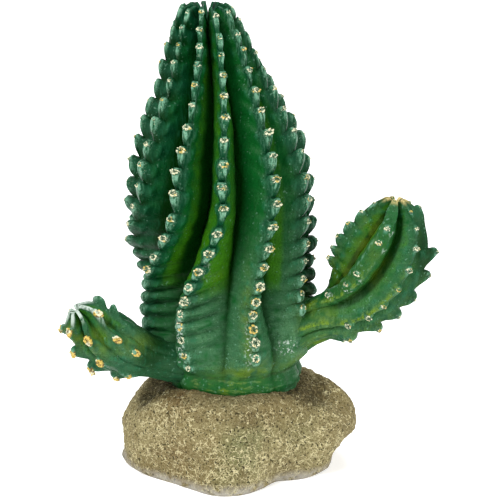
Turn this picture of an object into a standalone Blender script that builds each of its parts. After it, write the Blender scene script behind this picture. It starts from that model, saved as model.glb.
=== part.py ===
"""A cast and painted ornament: a ribbed columnar cactus with two arms, on a stone-like foot.

Metres, +Z up. The origin is the middle of the flat underside of the foot, and the front
faces -Y. It is 173 mm tall and 133 mm wide. The column and both arms are the same kind of
body: a spine, a crest line that is turned round it, ribs that wind along it, and a row of
teeth along every crest.
"""

import math

import bmesh
import bpy
import numpy as np

MM = 0.001

# ---- Driving dimensions, in millimetres and degrees ----

STONE_HEIGHT = 34.8
CLEARANCE = 0.3  # between neighbouring castings
CUTTER_MARGIN = 0.6  # how far a cutter stands off the body that it clears

# The column: crest radius at each height, from the flat cut in a pocket of the stone, over
# the crown and into its pit. A belt with a crease round it stands on the stone.
COLUMN_CREST = (
    (30.0, 23.6), (33.6, 24.2), (34.8, 23.7), (36.6, 24.6), (39.6, 24.4), (41.6, 23.5),
    (45.0, 25.4), (56.0, 27.9), (66.0, 29.2), (78.0, 30.5), (90.0, 31.2), (106.0, 30.9),
    (118.0, 29.0), (130.0, 25.0), (142.0, 20.0), (154.0, 15.8), (163.0, 12.5), (169.0, 9.8),
    (172.6, 7.2), (173.2, 5.4), (171.4, 3.6), (168.0, 1.8), (165.0, 0.0),
)
# Where the column's middle stands at each height: it leans to the left as it rises.
COLUMN_SPINE = (
    (30.0, 0.4, 0.0), (41.0, 0.2, 0.0), (50.0, -0.4, 0.2), (60.0, -1.6, 0.4), (75.0, -2.8, 0.8),
    (95.0, -3.8, 1.2), (120.0, -4.2, 1.6), (142.0, -5.9, 1.8), (158.0, -7.9, 2.0),
    (174.0, -9.2, 2.0),
)
# How far the valleys lie below the crests, where they run over the crown into its pit.
COLUMN_SINK = ((30.0, 0.0), (150.0, 0.0), (163.0, 2.0), (173.0, 5.5))
# The valleys' radius as a share of the crest's.
COLUMN_VALLEY = (
    (30.0, 0.98), (41.0, 0.97), (46.0, 0.88), (58.0, 0.78), (72.0, 0.67), (90.0, 0.58),
    (112.0, 0.55), (140.0, 0.5), (156.0, 0.44), (168.0, 0.34), (174.0, 0.3),
)
COLUMN_RIBS = 11
FRONT_RIB = 3  # the rib, counted from the left side, that faces the front
FRONT_RIB_ANGLE = 4.0
# Above the shoulder every rib turns to the right by this much.
CROWN_TWIST = ((118.0, 0.0), (134.0, 5.0), (148.0, 10.0), (160.0, 16.0), (172.0, 18.0))
# Ribs that stand off the even spacing, and how each winds to the left below the middle:
# where its bend starts and ends, and by how much it turns.
RIB_SHIFT = (0.0, 0.0, 0.0, -2.3, 0.8, 0.0, 0.0, 0.0, 0.0, 0.0, 0.0)
DRIFT_FROM = (112.0, 112.0, 108.0, 108.0, 112.0, 112.0, 112.0, 112.0, 112.0, 112.0, 112.0)
DRIFT_TO = (64.0, 64.0, 60.0, 58.0, 64.0, 64.0, 64.0, 64.0, 64.0, 64.0, 64.0)
RIB_DRIFT = (-34.0, -52.0, -42.0, -35.2, -19.3, -13.0, -4.0, -4.0, -8.0, -14.0, -20.0)
COLUMN_TEETH = 20
TOOTH_FROM, TOOTH_TO = 42.0, 172.0  # heights of the lowest notch and the highest tip
# The teeth's pitch along the crest at each height: they crowd together low down.
TOOTH_PITCH = (
    (42.0, 7.4), (54.0, 6.6), (66.0, 5.6), (78.0, 5.8), (92.0, 7.6), (120.0, 8.2), (146.0, 8.0),
    (160.0, 6.6), (172.0, 6.4),
)
EVEN_PITCH = ((0.0, 1.0), (200.0, 1.0))
TOOTH_SIZE = (
    (42.0, 0.9), (50.0, 1.6), (62.0, 2.7), (80.0, 2.9), (105.0, 3.2), (124.0, 3.0), (140.0, 2.4),
    (156.0, 1.7), (172.0, 1.0),
)
RIB_TEETH = (1.3, 1.2, 1.15, 0.95, 1.0, 1.1, 1.2, 1.2, 1.2, 1.2, 1.2)  # each rib's share of it
TOOTH_LIFT = ((38.0, -0.1), (70.0, 0.0), (95.0, 0.2), (120.0, 0.35), (172.0, 0.35))
CREST_HALF_WIDTH = (1.2, 2.2)  # in a notch, and under a tooth's tip
MOST_CREST_SHARE = 0.3  # of half the way to the next rib, where the ribs crowd together
FLANK_SWELL = 0.045  # how far a rib's side bulges, as a share of the crest radius
TOOTH_TIP = 0.7  # where the tip lies within a tooth's pitch
TOOTH_ROUNDING = 0.3  # how much lower a tooth is at the crest's edge than in the middle
TOOTH_FOOT = 0.45  # how far down the side a tooth reaches, as a share of the side
STAGGER = 0.42  # the teeth of each rib are out of step by up to this share of the pitch
TOOTH_SPREAD = (0.82, 1.14)  # the least and the most size of a tooth, against its place's

# Where the arms grow, the column swells towards them: place, way, reach and swell.
ARM_BOSSES = (
    ((25.0, -8.5, 50.0), (0.85, -0.2, 0.45), 9.5, 5.5),
    ((-22.0, -11.0, 45.0), (-0.85, -0.5, 0.2), 8.5, 4.2), ((-28.0, -7.0, 54.0), (-1.0, -0.2, 0.0), 5.0, 3.2),
)
# The swellings end in a lip over the belt: where they start, and over how much.
BOSS_FROM, BOSS_CLEAR = 40.0, 4.5

# The arms: spine points from inside the column out to the tip, and the crest radius at
# shares of the spine's length.
RIGHT_SPINE = (
    (11.0, -4.0, 49.0), (21.0, -7.5, 54.0), (31.5, -10.0, 59.8), (41.5, -12.0, 65.5),
    (50.0, -13.5, 76.5), (54.8, -14.0, 88.0), (57.2, -13.5, 97.5), (58.4, -13.0, 106.2),
)
RIGHT_CREST = (
    (0.0, 11.0), (0.14, 9.6), (0.26, 8.2), (0.36, 9.0), (0.46, 11.6), (0.58, 14.2),
    (0.72, 15.6), (0.84, 14.2), (0.93, 10.4), (0.985, 5.4), (1.0, 3.0), (0.985, 1.2),
    (0.97, 0.0),
)
LEFT_SPINE = (
    (-8.0, -5.0, 43.0), (-20.0, -10.5, 44.6), (-31.0, -16.0, 48.4), (-41.0, -21.5, 54.4),
    (-49.3, -25.5, 61.6), (-55.6, -28.0, 69.8),
)
LEFT_CREST = (
    (0.0, 8.6), (0.2, 8.2), (0.38, 7.8), (0.55, 9.6), (0.7, 10.5), (0.83, 9.3),
    (0.93, 7.6), (0.985, 4.2), (1.0, 2.4), (0.985, 1.0), (0.97, 0.0),
)
ARM_RIBS = 7
RIGHT_SEAM, LEFT_SEAM = (0.2, -1.0, 0.0), (0.0, -0.6, 0.8)  # the way that an arm's 0 degrees faces
# The direction of an arm's first rib, by share of the spine: the ribs wind round the arm.
RIGHT_TURN = (
    (0.0, -80.0), (0.34, -74.0), (0.46, -52.0), (0.6, -34.0), (0.7, -26.0), (0.85, -14.0),
    (1.0, -8.0),
)
LEFT_TURN = ((0.0, -5.0), (0.4, -4.0), (0.62, 1.0), (0.79, 9.0), (0.9, 26.0), (1.0, 46.0))
# How far each rib stands off the even spread, in degrees, by share of the spine.
RIGHT_RIB_SHIFT = (
    (0.0, -2.0, 16.0, 0.0, 0.0, 0.0, 0.0, -8.0), (0.45, -2.0, 15.0, 0.0, 0.0, 0.0, 0.0, -8.0),
    (0.75, -2.0, 1.0, 0.0, 0.0, 0.0, 0.0, -8.0), (1.0, -2.0, -3.0, 0.0, 0.0, 0.0, 0.0, -4.0),
)
LEFT_RIB_SHIFT = ((0.0, 0.0, 0.0, 0.0, 0.0, 9.0, 0.0, 0.0), (1.0, 0.0, 0.0, 0.0, 0.0, 9.0, 0.0, 0.0))
RIGHT_VALLEY = ((0.0, 0.9), (0.35, 0.8), (0.6, 0.66), (0.9, 0.56), (1.0, 0.4))
LEFT_VALLEY = ((0.0, 0.97), (0.45, 0.95), (0.66, 0.86), (0.8, 0.7), (1.0, 0.4))
ARM_SINK = ((0.0, 0.0), (0.8, 0.0), (0.93, 1.0), (1.0, 2.6))
RIGHT_TEETH, LEFT_TEETH = 9, 4
RIGHT_REACH, LEFT_REACH = (0.3, 0.97), (0.42, 0.95)  # where an arm's teeth start and end
RIGHT_TOOTH_SIZE = ((0.0, 1.2), (0.35, 2.0), (0.7, 2.3), (0.9, 1.8), (1.0, 0.7))
LEFT_TOOTH_SIZE = ((0.0, 1.2), (0.4, 1.6), (0.7, 2.2), (0.9, 2.0), (1.0, 1.0))
ARM_TOOTH_LIFT = ((0.0, 0.0), (1.0, 0.1))
RIGHT_RIB_TEETH = (0.25, 0.5, 1.2, 1.1, 1.0, 1.0, 1.5)
LEFT_RIB_TEETH = (1.4, 0.3, 0.9, 0.9, 1.2, 0.9, 0.6)
RIGHT_MISSING = {0: (0, 2, 5, 8), 1: (0,), 2: (0, 7), 5: tuple(range(9)), 6: (0, 1, 2)}
LEFT_MISSING = {0: (0, 1), 1: (0, 1, 2, 3), 2: (0, 1), 5: (3,), 6: (0,)}
# How far the teeth of each rib stand off the even count, in teeth.
RIGHT_STAGGER = (0.0, 0.1, -0.3, 0.2, -0.2, 0.1, 0.25)
LEFT_STAGGER = (0.3, 0.0, 0.2, 0.0, 0.35, 0.6, -0.35)
# The width of each rib's crest, as a share of the column's: one is flat and broad.
RIGHT_RIB_WIDTH = (2.0, 0.6, 0.6, 0.6, 0.6, 0.6, 0.6)
LEFT_RIB_WIDTH = (0.6, 0.6, 0.6, 0.6, 0.6, 0.6, 0.6)
RIGHT_SPLIT, LEFT_SPLIT = 0.45, 0.5  # where an arm's elbow ends, as a share of its spine

# The stone: how far it reaches by direction, at the floor and at its belly.
STONE_FLOOR = (
    (-180.0, 32.0), (-150.0, 35.0), (-120.0, 40.0), (-95.0, 42.3), (-72.0, 36.5),
    (-45.0, 31.0), (-28.0, 31.5), (-8.0, 34.3), (8.0, 32.6), (24.0, 28.6), (40.0, 26.0),
    (58.0, 32.0), (78.0, 36.5), (100.0, 39.0), (130.0, 37.0), (155.0, 33.0), (180.0, 32.0),
)
STONE_BELLY = (
    (-180.0, 33.0), (-150.0, 36.0), (-120.0, 39.8), (-90.0, 40.3), (-62.0, 38.0),
    (-40.0, 33.5), (-12.0, 33.5), (8.0, 32.0), (32.0, 30.5), (52.0, 35.0), (75.0, 43.0),
    (95.0, 46.5), (118.0, 43.5), (150.0, 36.0), (180.0, 33.0),
)
STONE_LEDGE = 27.0  # radius of the level top that the column stands in
# The stone's side: height, and how far it has gone from the floor's outline to the belly's,
# and from there in to the ledge.
STONE_SIDE = (
    (1.6, 0.0, 0.0), (6.0, 0.45, 0.0), (11.0, 0.85, 0.0), (16.0, 1.0, 0.0), (20.5, 1.0, 0.07),
    (24.5, 1.0, 0.2), (28.0, 1.0, 0.34), (30.8, 1.0, 0.54), (32.8, 1.0, 0.78), (34.0, 1.0, 1.0),
)
STONE_UNDERSIDE = (0.6, 0.965)  # rings of the flat underside, as shares of the floor's outline
STONE_BACK_DROP = 3.5  # the top falls by this much towards the back
# Lumps and hollows of the stone: place, reach, and how far each stands out.
STONE_LUMPS = (
    ((-17.0, -26.0, 31.0), 6.0, 3.0), ((-28.0, -18.0, 28.0), 5.0, 1.6),
    ((-30.0, -9.0, 31.0), 4.0, -3.0), ((33.0, -9.0, 31.0), 5.0, -3.0), ((38.0, -16.0, 27.0), 4.0, 1.2),
    ((2.0, -29.0, 33.0), 8.0, 1.8), ((44.0, 2.0, 18.0), 9.0, 1.2), ((42.0, -2.0, 6.5), 5.0, -5.0),
    ((-41.0, -2.0, 8.0), 3.5, -1.8), ((25.0, -25.0, 12.0), 7.0, -2.0), ((-15.0, -34.0, 12.0), 6.0, -1.6),
    ((40.0, -11.0, 6.5), 4.0, -2.5), ((42.0, 7.0, 6.5), 4.0, -3.0),
)

# How finely the solids are cut.
TOOTH_STEPS = (0.0, 0.36, 0.7)  # rows within one tooth, as shares of its pitch
RIB_STEPS = (-2.0, -1.45, -0.85, 0.0, 0.85, 1.45)  # columns of a rib: 1 is an edge, 2 a valley
PLAIN_ROWS = 4  # rows in a stretch with no teeth
ROW_GAP = 0.2  # the least distance between rows, as a share of the pitch
STONE_SEGMENTS = 44
GREEN = (0.012, 0.105, 0.040, 1.0)
STONE_COLOUR = (0.38, 0.31, 0.17, 1.0)


# ---- Curves ----


def through(pairs, at):
    """A smooth curve through (station, value...) rows, read at `at` and held past its ends."""
    table = np.asarray(pairs, float)
    stations, values = table[:, 0], table[:, 1:]
    slopes = np.gradient(values, stations, axis=0)
    at = np.clip(np.asarray(at, float), stations[0], stations[-1])
    left = np.clip(np.searchsorted(stations, at, side="right") - 1, 0, len(stations) - 2)
    span = stations[left + 1] - stations[left]
    u = ((at - stations[left]) / span)[..., None]
    span = span[..., None]
    rise = 3 * u**2 - 2 * u**3
    made = values[left] * (1 - rise) + values[left + 1] * rise
    made += span * slopes[left] * (u - 2 * u**2 + u**3)
    made += span * slopes[left + 1] * (u**3 - u**2)
    return made[..., 0] if values.shape[1] == 1 else made


def smooth_step(share):
    share = np.clip(share, 0.0, 1.0)
    return share * share * (3 - 2 * share)


def chord_lengths(points):
    steps = np.linalg.norm(np.diff(np.asarray(points, float), axis=0), axis=1)
    return np.concatenate([[0.0], np.cumsum(steps)])


def unit(vectors):
    return vectors / np.linalg.norm(vectors, axis=-1, keepdims=True)


# ---- Spines: where the middle is, and which way a cross-section faces ----


class UprightSpine:
    """Level cross-sections. A distance along it is a height."""

    def __init__(self, rows):
        self.rows = rows

    def at(self, height):
        middle = through(self.rows, height)
        place = np.stack([middle[..., 0], middle[..., 1], height], axis=-1)
        front = np.broadcast_to([0.0, -1.0, 0.0], place.shape)
        right = np.broadcast_to([1.0, 0.0, 0.0], place.shape)
        along = np.broadcast_to([0.0, 0.0, 1.0], place.shape)
        return place, front, right, along


class BentSpine:
    """Cross-sections square to a curve through the points. `seam` is where rib 0 faces."""

    STEPS = 240

    def __init__(self, points, seam):
        points = np.asarray(points, float)
        rows = np.column_stack([chord_lengths(points), points])
        fine = np.linspace(0.0, rows[-1, 0], self.STEPS)
        self.places = through(rows, fine)
        self.reach = chord_lengths(self.places)
        self.length = self.reach[-1]
        self.alongs = unit(np.gradient(self.places, self.reach, axis=0))
        front = np.asarray(seam, float)
        fronts = []
        for along in self.alongs:
            front = front - along * (front @ along)
            front = front / np.linalg.norm(front)
            fronts.append(front)
        self.fronts = np.array(fronts)

    def read(self, table, distance):
        return np.stack([np.interp(distance, self.reach, table[:, k]) for k in range(3)], -1)

    def at(self, distance):
        place = self.read(self.places, distance)
        along = unit(self.read(self.alongs, distance))
        front = self.read(self.fronts, distance)
        front = unit(front - along * (front * along).sum(-1, keepdims=True))
        return place, front, np.cross(along, front), along


# ---- The ribbed body ----


def tooth_shape(share):
    """A tooth's height within its pitch: a long rise to the tip, then a round shelf."""
    rise = (share / TOOTH_TIP) ** 1.2
    fall = np.clip((share - TOOTH_TIP) / (1 - TOOTH_TIP), 0.0, 1.0)
    return np.where(share < TOOTH_TIP, rise, np.sqrt(1 - fall**2))


class RibbedBody:
    """A column or an arm: point() gives any place on its skin, in millimetres."""

    def __init__(self, spine, crest, valley, sink, angles, teeth, size, lift, reach, pitch, seed):
        self.spine, self.valley, self.sink, self.angles = spine, valley, sink, angles
        self.size, self.lift, self.teeth = size, lift, teeth
        crest = np.asarray(crest, float)
        self.arc_rows = np.column_stack([chord_lengths(crest), crest])
        self.length = self.arc_rows[-1, 0]
        arcs = np.linspace(0.0, self.length, 2000)
        heights = through(self.arc_rows, arcs)[:, 0]
        count = np.cumsum(1 / through(pitch, heights))
        first, last = count[np.argmax(heights >= reach[0])], count[np.argmax(heights >= reach[1])]
        self.arcs, self.phases = arcs, (count - first) / (last - first) * teeth
        self.ribs = angles(np.array([reach[0]])).shape[-1]
        chance = np.random.default_rng(seed)
        self.stagger = chance.uniform(-STAGGER, STAGGER, self.ribs)
        self.scale = chance.uniform(*TOOTH_SPREAD, (self.ribs, teeth))
        self.width, self.bosses = np.ones(self.ribs), ()

    def phase_of(self, arc):
        """Teeth counted along the crest: tooth k lies between k and k + 1."""
        return np.interp(arc, self.arcs, self.phases)

    def point(self, phase, rib, step):
        """The skin at a phase along the crest, on a rib, at a step across it (see RIB_STEPS)."""
        across = np.abs(step)
        on_flank = np.clip(across - 1, 0.0, 1.0)
        free = smooth_step(phase / 1.5) * smooth_step((self.teeth - phase) / 1.5)
        shift = self.stagger[rib] * free * (1 - on_flank)
        arc = np.interp(phase + shift, self.phases, self.arcs)
        height, radius = np.moveaxis(through(self.arc_rows, arc), -1, 0)
        angle = self.angles(height)
        own = np.take_along_axis(angle, rib[..., None], -1)[..., 0]
        side = np.where(step < 0, -1, 1)
        beside = (rib + side) % self.ribs
        next_to = np.take_along_axis(angle, beside[..., None], -1)[..., 0]
        turn = (next_to - own + 180.0) % 360.0 - 180.0
        own, low = np.radians(own), np.radians(own + turn / 2)

        tooth = np.clip(np.floor(phase), 0, self.teeth - 1).astype(int)
        within = np.clip(phase - tooth, 0.0, 1.0)
        inside = (phase >= 0) & (phase <= self.teeth)
        raised = np.where(inside, tooth_shape(within), 0.0) * self.scale[rib, tooth]
        half = CREST_HALF_WIDTH[0] * self.width[rib]
        half = half + (CREST_HALF_WIDTH[1] - CREST_HALF_WIDTH[0]) * raised
        half = np.minimum(half, MOST_CREST_SHARE * radius * np.abs(np.radians(turn)))

        hollow = radius * through(self.valley, height)
        off = half * np.clip(step, -1.0, 1.0)
        front = (radius * np.cos(own) - off * np.sin(own)) * (1 - on_flank)
        front += hollow * np.cos(low) * on_flank
        right = (radius * np.sin(own) + off * np.cos(own)) * (1 - on_flank)
        right += hollow * np.sin(low) * on_flank

        bulge = FLANK_SWELL * radius * 4 * on_flank * (1 - on_flank)
        front += bulge * np.cos((own + low) / 2)
        right += bulge * np.sin((own + low) / 2)

        place, front_way, right_way, along = self.spine.at(height)
        sunk = through(self.sink, height) * on_flank * smooth_step(radius / 4.0)
        skin = place + front[..., None] * front_way + right[..., None] * right_way
        skin -= sunk[..., None] * along

        nudge = 0.2
        ahead = through(self.arc_rows, np.clip(arc + nudge, 0.0, self.length))
        behind = through(self.arc_rows, np.clip(arc - nudge, 0.0, self.length))
        up, out = np.moveaxis(unit(ahead - behind + [1e-9, 0.0]), -1, 0)
        outward = np.cos(own)[..., None] * front_way + np.sin(own)[..., None] * right_way
        normal = up[..., None] * outward - out[..., None] * along
        tangent = out[..., None] * outward + up[..., None] * along
        fade = np.clip(1 - on_flank / TOOTH_FOOT, 0.0, 1.0) ** 1.5
        fade = fade * (1 - TOOTH_ROUNDING * np.minimum(across, 1.0) ** 2)
        grow = raised * fade * through(self.size, height)
        skin += grow[..., None] * (normal + through(self.lift, height)[..., None] * tangent)
        above_foot = smooth_step((height - BOSS_FROM) / BOSS_CLEAR)
        for middle, way, width, swell in self.bosses:
            near = np.exp(-((skin - np.array(middle)) ** 2).sum(-1) / (2 * width**2)) * above_foot
            skin += (swell * near)[..., None] * np.array(way)
        return skin


def column_angles(height):
    """The direction that each rib faces at a height, in degrees from the front to the right."""
    ribs = np.arange(COLUMN_RIBS)
    regular = FRONT_RIB_ANGLE + (ribs - FRONT_RIB) * 360.0 / COLUMN_RIBS + np.array(RIB_SHIFT)
    start, end = np.array(DRIFT_FROM), np.array(DRIFT_TO)
    drifted = smooth_step((start - height[..., None]) / (start - end))
    return regular + through(CROWN_TWIST, height)[..., None] + drifted * np.array(RIB_DRIFT)


def arm_angles(turn, shifts):
    """The same for an arm, from its first rib's direction at each distance."""
    spread = np.arange(ARM_RIBS) * 360.0 / ARM_RIBS
    return lambda distance: through(turn, distance)[..., None] + spread + through(shifts, distance)


def column_body():
    body = RibbedBody(
        UprightSpine(COLUMN_SPINE), COLUMN_CREST, COLUMN_VALLEY, COLUMN_SINK, column_angles,
        COLUMN_TEETH, TOOTH_SIZE, TOOTH_LIFT, (TOOTH_FROM, TOOTH_TO), TOOTH_PITCH, seed=11,
    )
    body.scale *= np.array(RIB_TEETH)[:, None]
    body.bosses = ARM_BOSSES
    return body


def along_spine(rows, length):
    """Rows whose first entry is a share of the spine, with that entry as a distance."""
    return [(share * length, *rest) for share, *rest in rows]


def arm_body(points, seam, crest, valley, turn, shifts, teeth, sizes, reach, seed):
    spine = BentSpine(points, seam)
    length = spine.length
    return RibbedBody(
        spine, along_spine(crest, length), along_spine(valley, length),
        along_spine(ARM_SINK, length), arm_angles(along_spine(turn, length), along_spine(shifts, length)),
        teeth, along_spine(sizes, length), along_spine(ARM_TOOTH_LIFT, length),
        (reach[0] * length, reach[1] * length), EVEN_PITCH, seed,
    )


def set_teeth(body, rib_teeth, missing, stagger, width):
    """Gives each rib its own size of tooth, gaps, step and width."""
    body.scale *= np.array(rib_teeth)[:, None]
    for rib, teeth in missing.items():
        body.scale[rib, list(teeth)] = 0.0
    body.stagger, body.width = np.array(stagger), np.array(width)


def rows_between(body, low, high):
    """Row phases from arc `low` to arc `high`: every tooth's rows, and a few even rows in
    the smooth stretches below the first tooth and above the last."""
    start, end = body.phase_of(low), body.phase_of(high)
    toothed = [tooth + step for tooth in range(body.teeth) for step in TOOTH_STEPS]
    inner = [phase for phase in toothed + [body.teeth] if start + ROW_GAP < phase < end - ROW_GAP]
    below = np.linspace(start, inner[0], PLAIN_ROWS)[:-1] if start < -ROW_GAP else [start]
    above = np.linspace(inner[-1], end, PLAIN_ROWS + 1)[1:] if end > body.teeth else [end]
    return np.concatenate([below, inner, above])


# ---- Meshes ----


def material(name, colour, roughness):
    made = bpy.data.materials.new(name)
    made.use_nodes = True
    shader = made.node_tree.nodes["Principled BSDF"]
    shader.inputs["Base Color"].default_value = colour
    shader.inputs["Roughness"].default_value = roughness
    shader.inputs["Metallic"].default_value = 0.0
    made.diffuse_color = colour
    return made


def ringed_object(name, rings, bottom, top, collection, finish):
    """A closed body: a UV sphere whose rings are moved onto `rings`, in millimetres."""
    count, around = rings.shape[:2]
    mesh = bpy.data.meshes.new(name)
    ball = bmesh.new()
    bmesh.ops.create_uvsphere(ball, u_segments=around, v_segments=count + 1, radius=1.0)
    for vertex in ball.verts:
        x, y, z = vertex.co
        row = round((1 - math.acos(max(-1.0, min(1.0, z))) / math.pi) * (count + 1))
        if row == 0:
            vertex.co = bottom * MM
        elif row == count + 1:
            vertex.co = top * MM
        else:
            column = round(math.atan2(-x, y) / (2 * math.pi) * around) % around
            vertex.co = rings[row - 1, column] * MM
    ball.to_mesh(mesh)
    ball.free()
    mesh.shade_smooth()
    mesh.set_sharp_from_angle(angle=math.radians(50))
    made = bpy.data.objects.new(name, mesh)
    made.data.materials.append(finish)
    collection.objects.link(made)
    return made


def body_rings(body, phases):
    """Rings of the ribbed body at these phases, one column for each rib and step."""
    rib, step = np.meshgrid(np.arange(body.ribs), RIB_STEPS, indexing="ij")
    rib, step = rib.ravel(), step.ravel()
    grid = np.broadcast_to(phases[:, None], (len(phases), len(rib)))
    ribs = np.broadcast_to(rib, grid.shape)
    return body.point(grid, ribs, np.broadcast_to(step, grid.shape))


def ribbed_object(name, body, low, high, collection, finish):
    """The stretch of a body between two arcs, as a closed solid."""
    rings = body_rings(body, rows_between(body, low, high))
    bottom, top = rings[0].mean(axis=0), rings[-1].mean(axis=0)
    if high >= body.length:
        rings = rings[:-1]
    return ringed_object(name, rings, bottom, top, collection, finish)


def make_cutter(name, body, collection, finish):
    """The whole body, swollen by the cutter's margin and kept out of the result."""
    cutter = ribbed_object(name, body, 0.0, body.length, collection, finish)
    for vertex, normal in zip(cutter.data.vertices, [n.vector.copy() for n in cutter.data.vertex_normals]):
        vertex.co += normal * CUTTER_MARGIN * MM
    cutter.hide_render = True
    cutter.display_type = "WIRE"
    return cutter


def arc_at(body, share):
    """The arc of an arm's crest line where it passes this share of the spine."""
    arcs = np.linspace(0.0, body.length, 2000)
    distances = through(body.arc_rows, arcs)[:, 0]
    return arcs[np.argmax(distances >= share * body.spine.length)]


def subtract(target, cutter):
    cut = target.modifiers.new("clear_" + cutter.name, "BOOLEAN")
    cut.operation = "DIFFERENCE"
    cut.solver = "EXACT"
    cut.object = cutter


# ---- The parts ----


def make_arm(name, body, split, column_cutter, parts, finish):
    """An arm is two castings: the elbow that clears the column, and the head above it."""
    whole = arc_at(body, split)
    elbow = ribbed_object(name + "_arm_elbow", body, 0.0, whole - CLEARANCE, parts, finish)
    subtract(elbow, column_cutter)
    ribbed_object(name + "_arm_head", body, whole, body.length, parts, finish)


def make_stone(parts, finish):
    angles = np.linspace(-180.0, 180.0, STONE_SEGMENTS, endpoint=False)
    ways = np.stack([np.sin(np.radians(angles)), -np.cos(np.radians(angles)), 0 * angles], -1)
    height, to_belly, to_ledge = np.array(STONE_SIDE).T[..., None]
    floor, belly = through(STONE_FLOOR, angles), through(STONE_BELLY, angles)
    reach = floor + (belly - floor) * to_belly
    reach += (STONE_LEDGE - reach) * to_ledge
    under = np.array(STONE_UNDERSIDE)[:, None] * floor
    inner = np.array([[STONE_LEDGE * 0.6]]) + 0 * angles
    reach = np.concatenate([under, reach, inner])
    height = np.concatenate([0 * under, height + 0 * angles, 0 * inner + STONE_HEIGHT])
    rings = reach[..., None] * ways
    behind = smooth_step(rings[..., 1] / STONE_LEDGE) * smooth_step((height - 18.0) / 14.0)
    rings[..., 2] = height - STONE_BACK_DROP * behind
    for middle, spread, rise in STONE_LUMPS:
        near = np.exp(-((rings - np.array(middle)) ** 2).sum(-1) / (2 * spread**2))
        rings = rings + (rise * near)[..., None] * ways
    bottom, top = np.array([0.0, 0.0, 0.0]), np.array([0.0, 0.0, STONE_HEIGHT])
    return ringed_object("stone_foot", rings, bottom, top, parts, finish)


def main():
    for old in list(bpy.data.objects):
        bpy.data.objects.remove(old)
    parts = bpy.data.collections.new("cactus_ornament")
    cutters = bpy.data.collections.new("cutters")
    for collection in (parts, cutters):
        bpy.context.scene.collection.children.link(collection)
    green = material("green_resin", GREEN, 0.42)
    stone = material("stone_resin", STONE_COLOUR, 0.9)

    column = column_body()
    ribbed_object("main_column", column, 0.0, column.length, parts, green)
    cutter = make_cutter("column_cutter", column, cutters, green)
    foot = make_stone(parts, stone)
    subtract(foot, cutter)

    right = arm_body(
        RIGHT_SPINE, RIGHT_SEAM, RIGHT_CREST, RIGHT_VALLEY, RIGHT_TURN, RIGHT_RIB_SHIFT,
        RIGHT_TEETH, RIGHT_TOOTH_SIZE, RIGHT_REACH, seed=21,
    )
    set_teeth(right, RIGHT_RIB_TEETH, RIGHT_MISSING, RIGHT_STAGGER, RIGHT_RIB_WIDTH)
    left = arm_body(
        LEFT_SPINE, LEFT_SEAM, LEFT_CREST, LEFT_VALLEY, LEFT_TURN, LEFT_RIB_SHIFT,
        LEFT_TEETH, LEFT_TOOTH_SIZE, LEFT_REACH, seed=31,
    )
    set_teeth(left, LEFT_RIB_TEETH, LEFT_MISSING, LEFT_STAGGER, LEFT_RIB_WIDTH)
    make_arm("right", right, RIGHT_SPLIT, cutter, parts, green)
    make_arm("left", left, LEFT_SPLIT, cutter, parts, green)


main()
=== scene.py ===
"""The looks of a cast and painted ornament: a ribbed columnar cactus on a stone-like foot.

Every solid of the frame is replaced by a finer mesh that is made by the same rule: a spine,
a crest line, ribs that wind along it, and teeth. Sizes are in millimetres and degrees until
a mesh is made. The front faces -Y and +Z is up.

A table by height has rows of a height and what holds there. What differs from rib to rib is
a row with a value for each rib, and what also differs from a rib's left side to its right is
two such rows; one number stands for all of them. A spot has its middle, how far it spreads
each way, and its strength.
"""

import math
from types import SimpleNamespace

import bpy
import numpy as np
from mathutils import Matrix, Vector, noise

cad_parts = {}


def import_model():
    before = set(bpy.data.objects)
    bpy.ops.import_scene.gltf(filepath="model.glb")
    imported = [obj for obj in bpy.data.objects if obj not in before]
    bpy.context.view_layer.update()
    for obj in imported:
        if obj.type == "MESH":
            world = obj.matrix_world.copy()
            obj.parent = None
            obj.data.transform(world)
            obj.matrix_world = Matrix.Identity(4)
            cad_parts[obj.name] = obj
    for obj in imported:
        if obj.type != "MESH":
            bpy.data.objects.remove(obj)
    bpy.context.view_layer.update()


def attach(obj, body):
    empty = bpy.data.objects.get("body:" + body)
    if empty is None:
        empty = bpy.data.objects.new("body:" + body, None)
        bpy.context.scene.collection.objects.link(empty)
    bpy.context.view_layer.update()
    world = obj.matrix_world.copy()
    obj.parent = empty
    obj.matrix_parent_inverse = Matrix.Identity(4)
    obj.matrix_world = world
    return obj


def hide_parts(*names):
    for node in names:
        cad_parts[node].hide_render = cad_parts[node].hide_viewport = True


MM = 0.001
EVERYWHERE, NOWHERE = ((0, 1), (200, 1)), ((0, 0), (200, 0))

# ---- Ribs, teeth and skin ----

CREST_HALF_WIDTH = (0.9, 1.5)  # in a notch, and under a tooth's tip
MOST_CREST_SHARE = 0.3  # of half the way to the next rib, where the ribs crowd together
# Chance shifts along the rib, of all its teeth and of each one, in teeth; sizes; sideways lean.
STAGGER, JITTER, TOOTH_SPREAD, SWAY = 0.42, 0.1, (0.82, 1.14), 0.35
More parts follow.
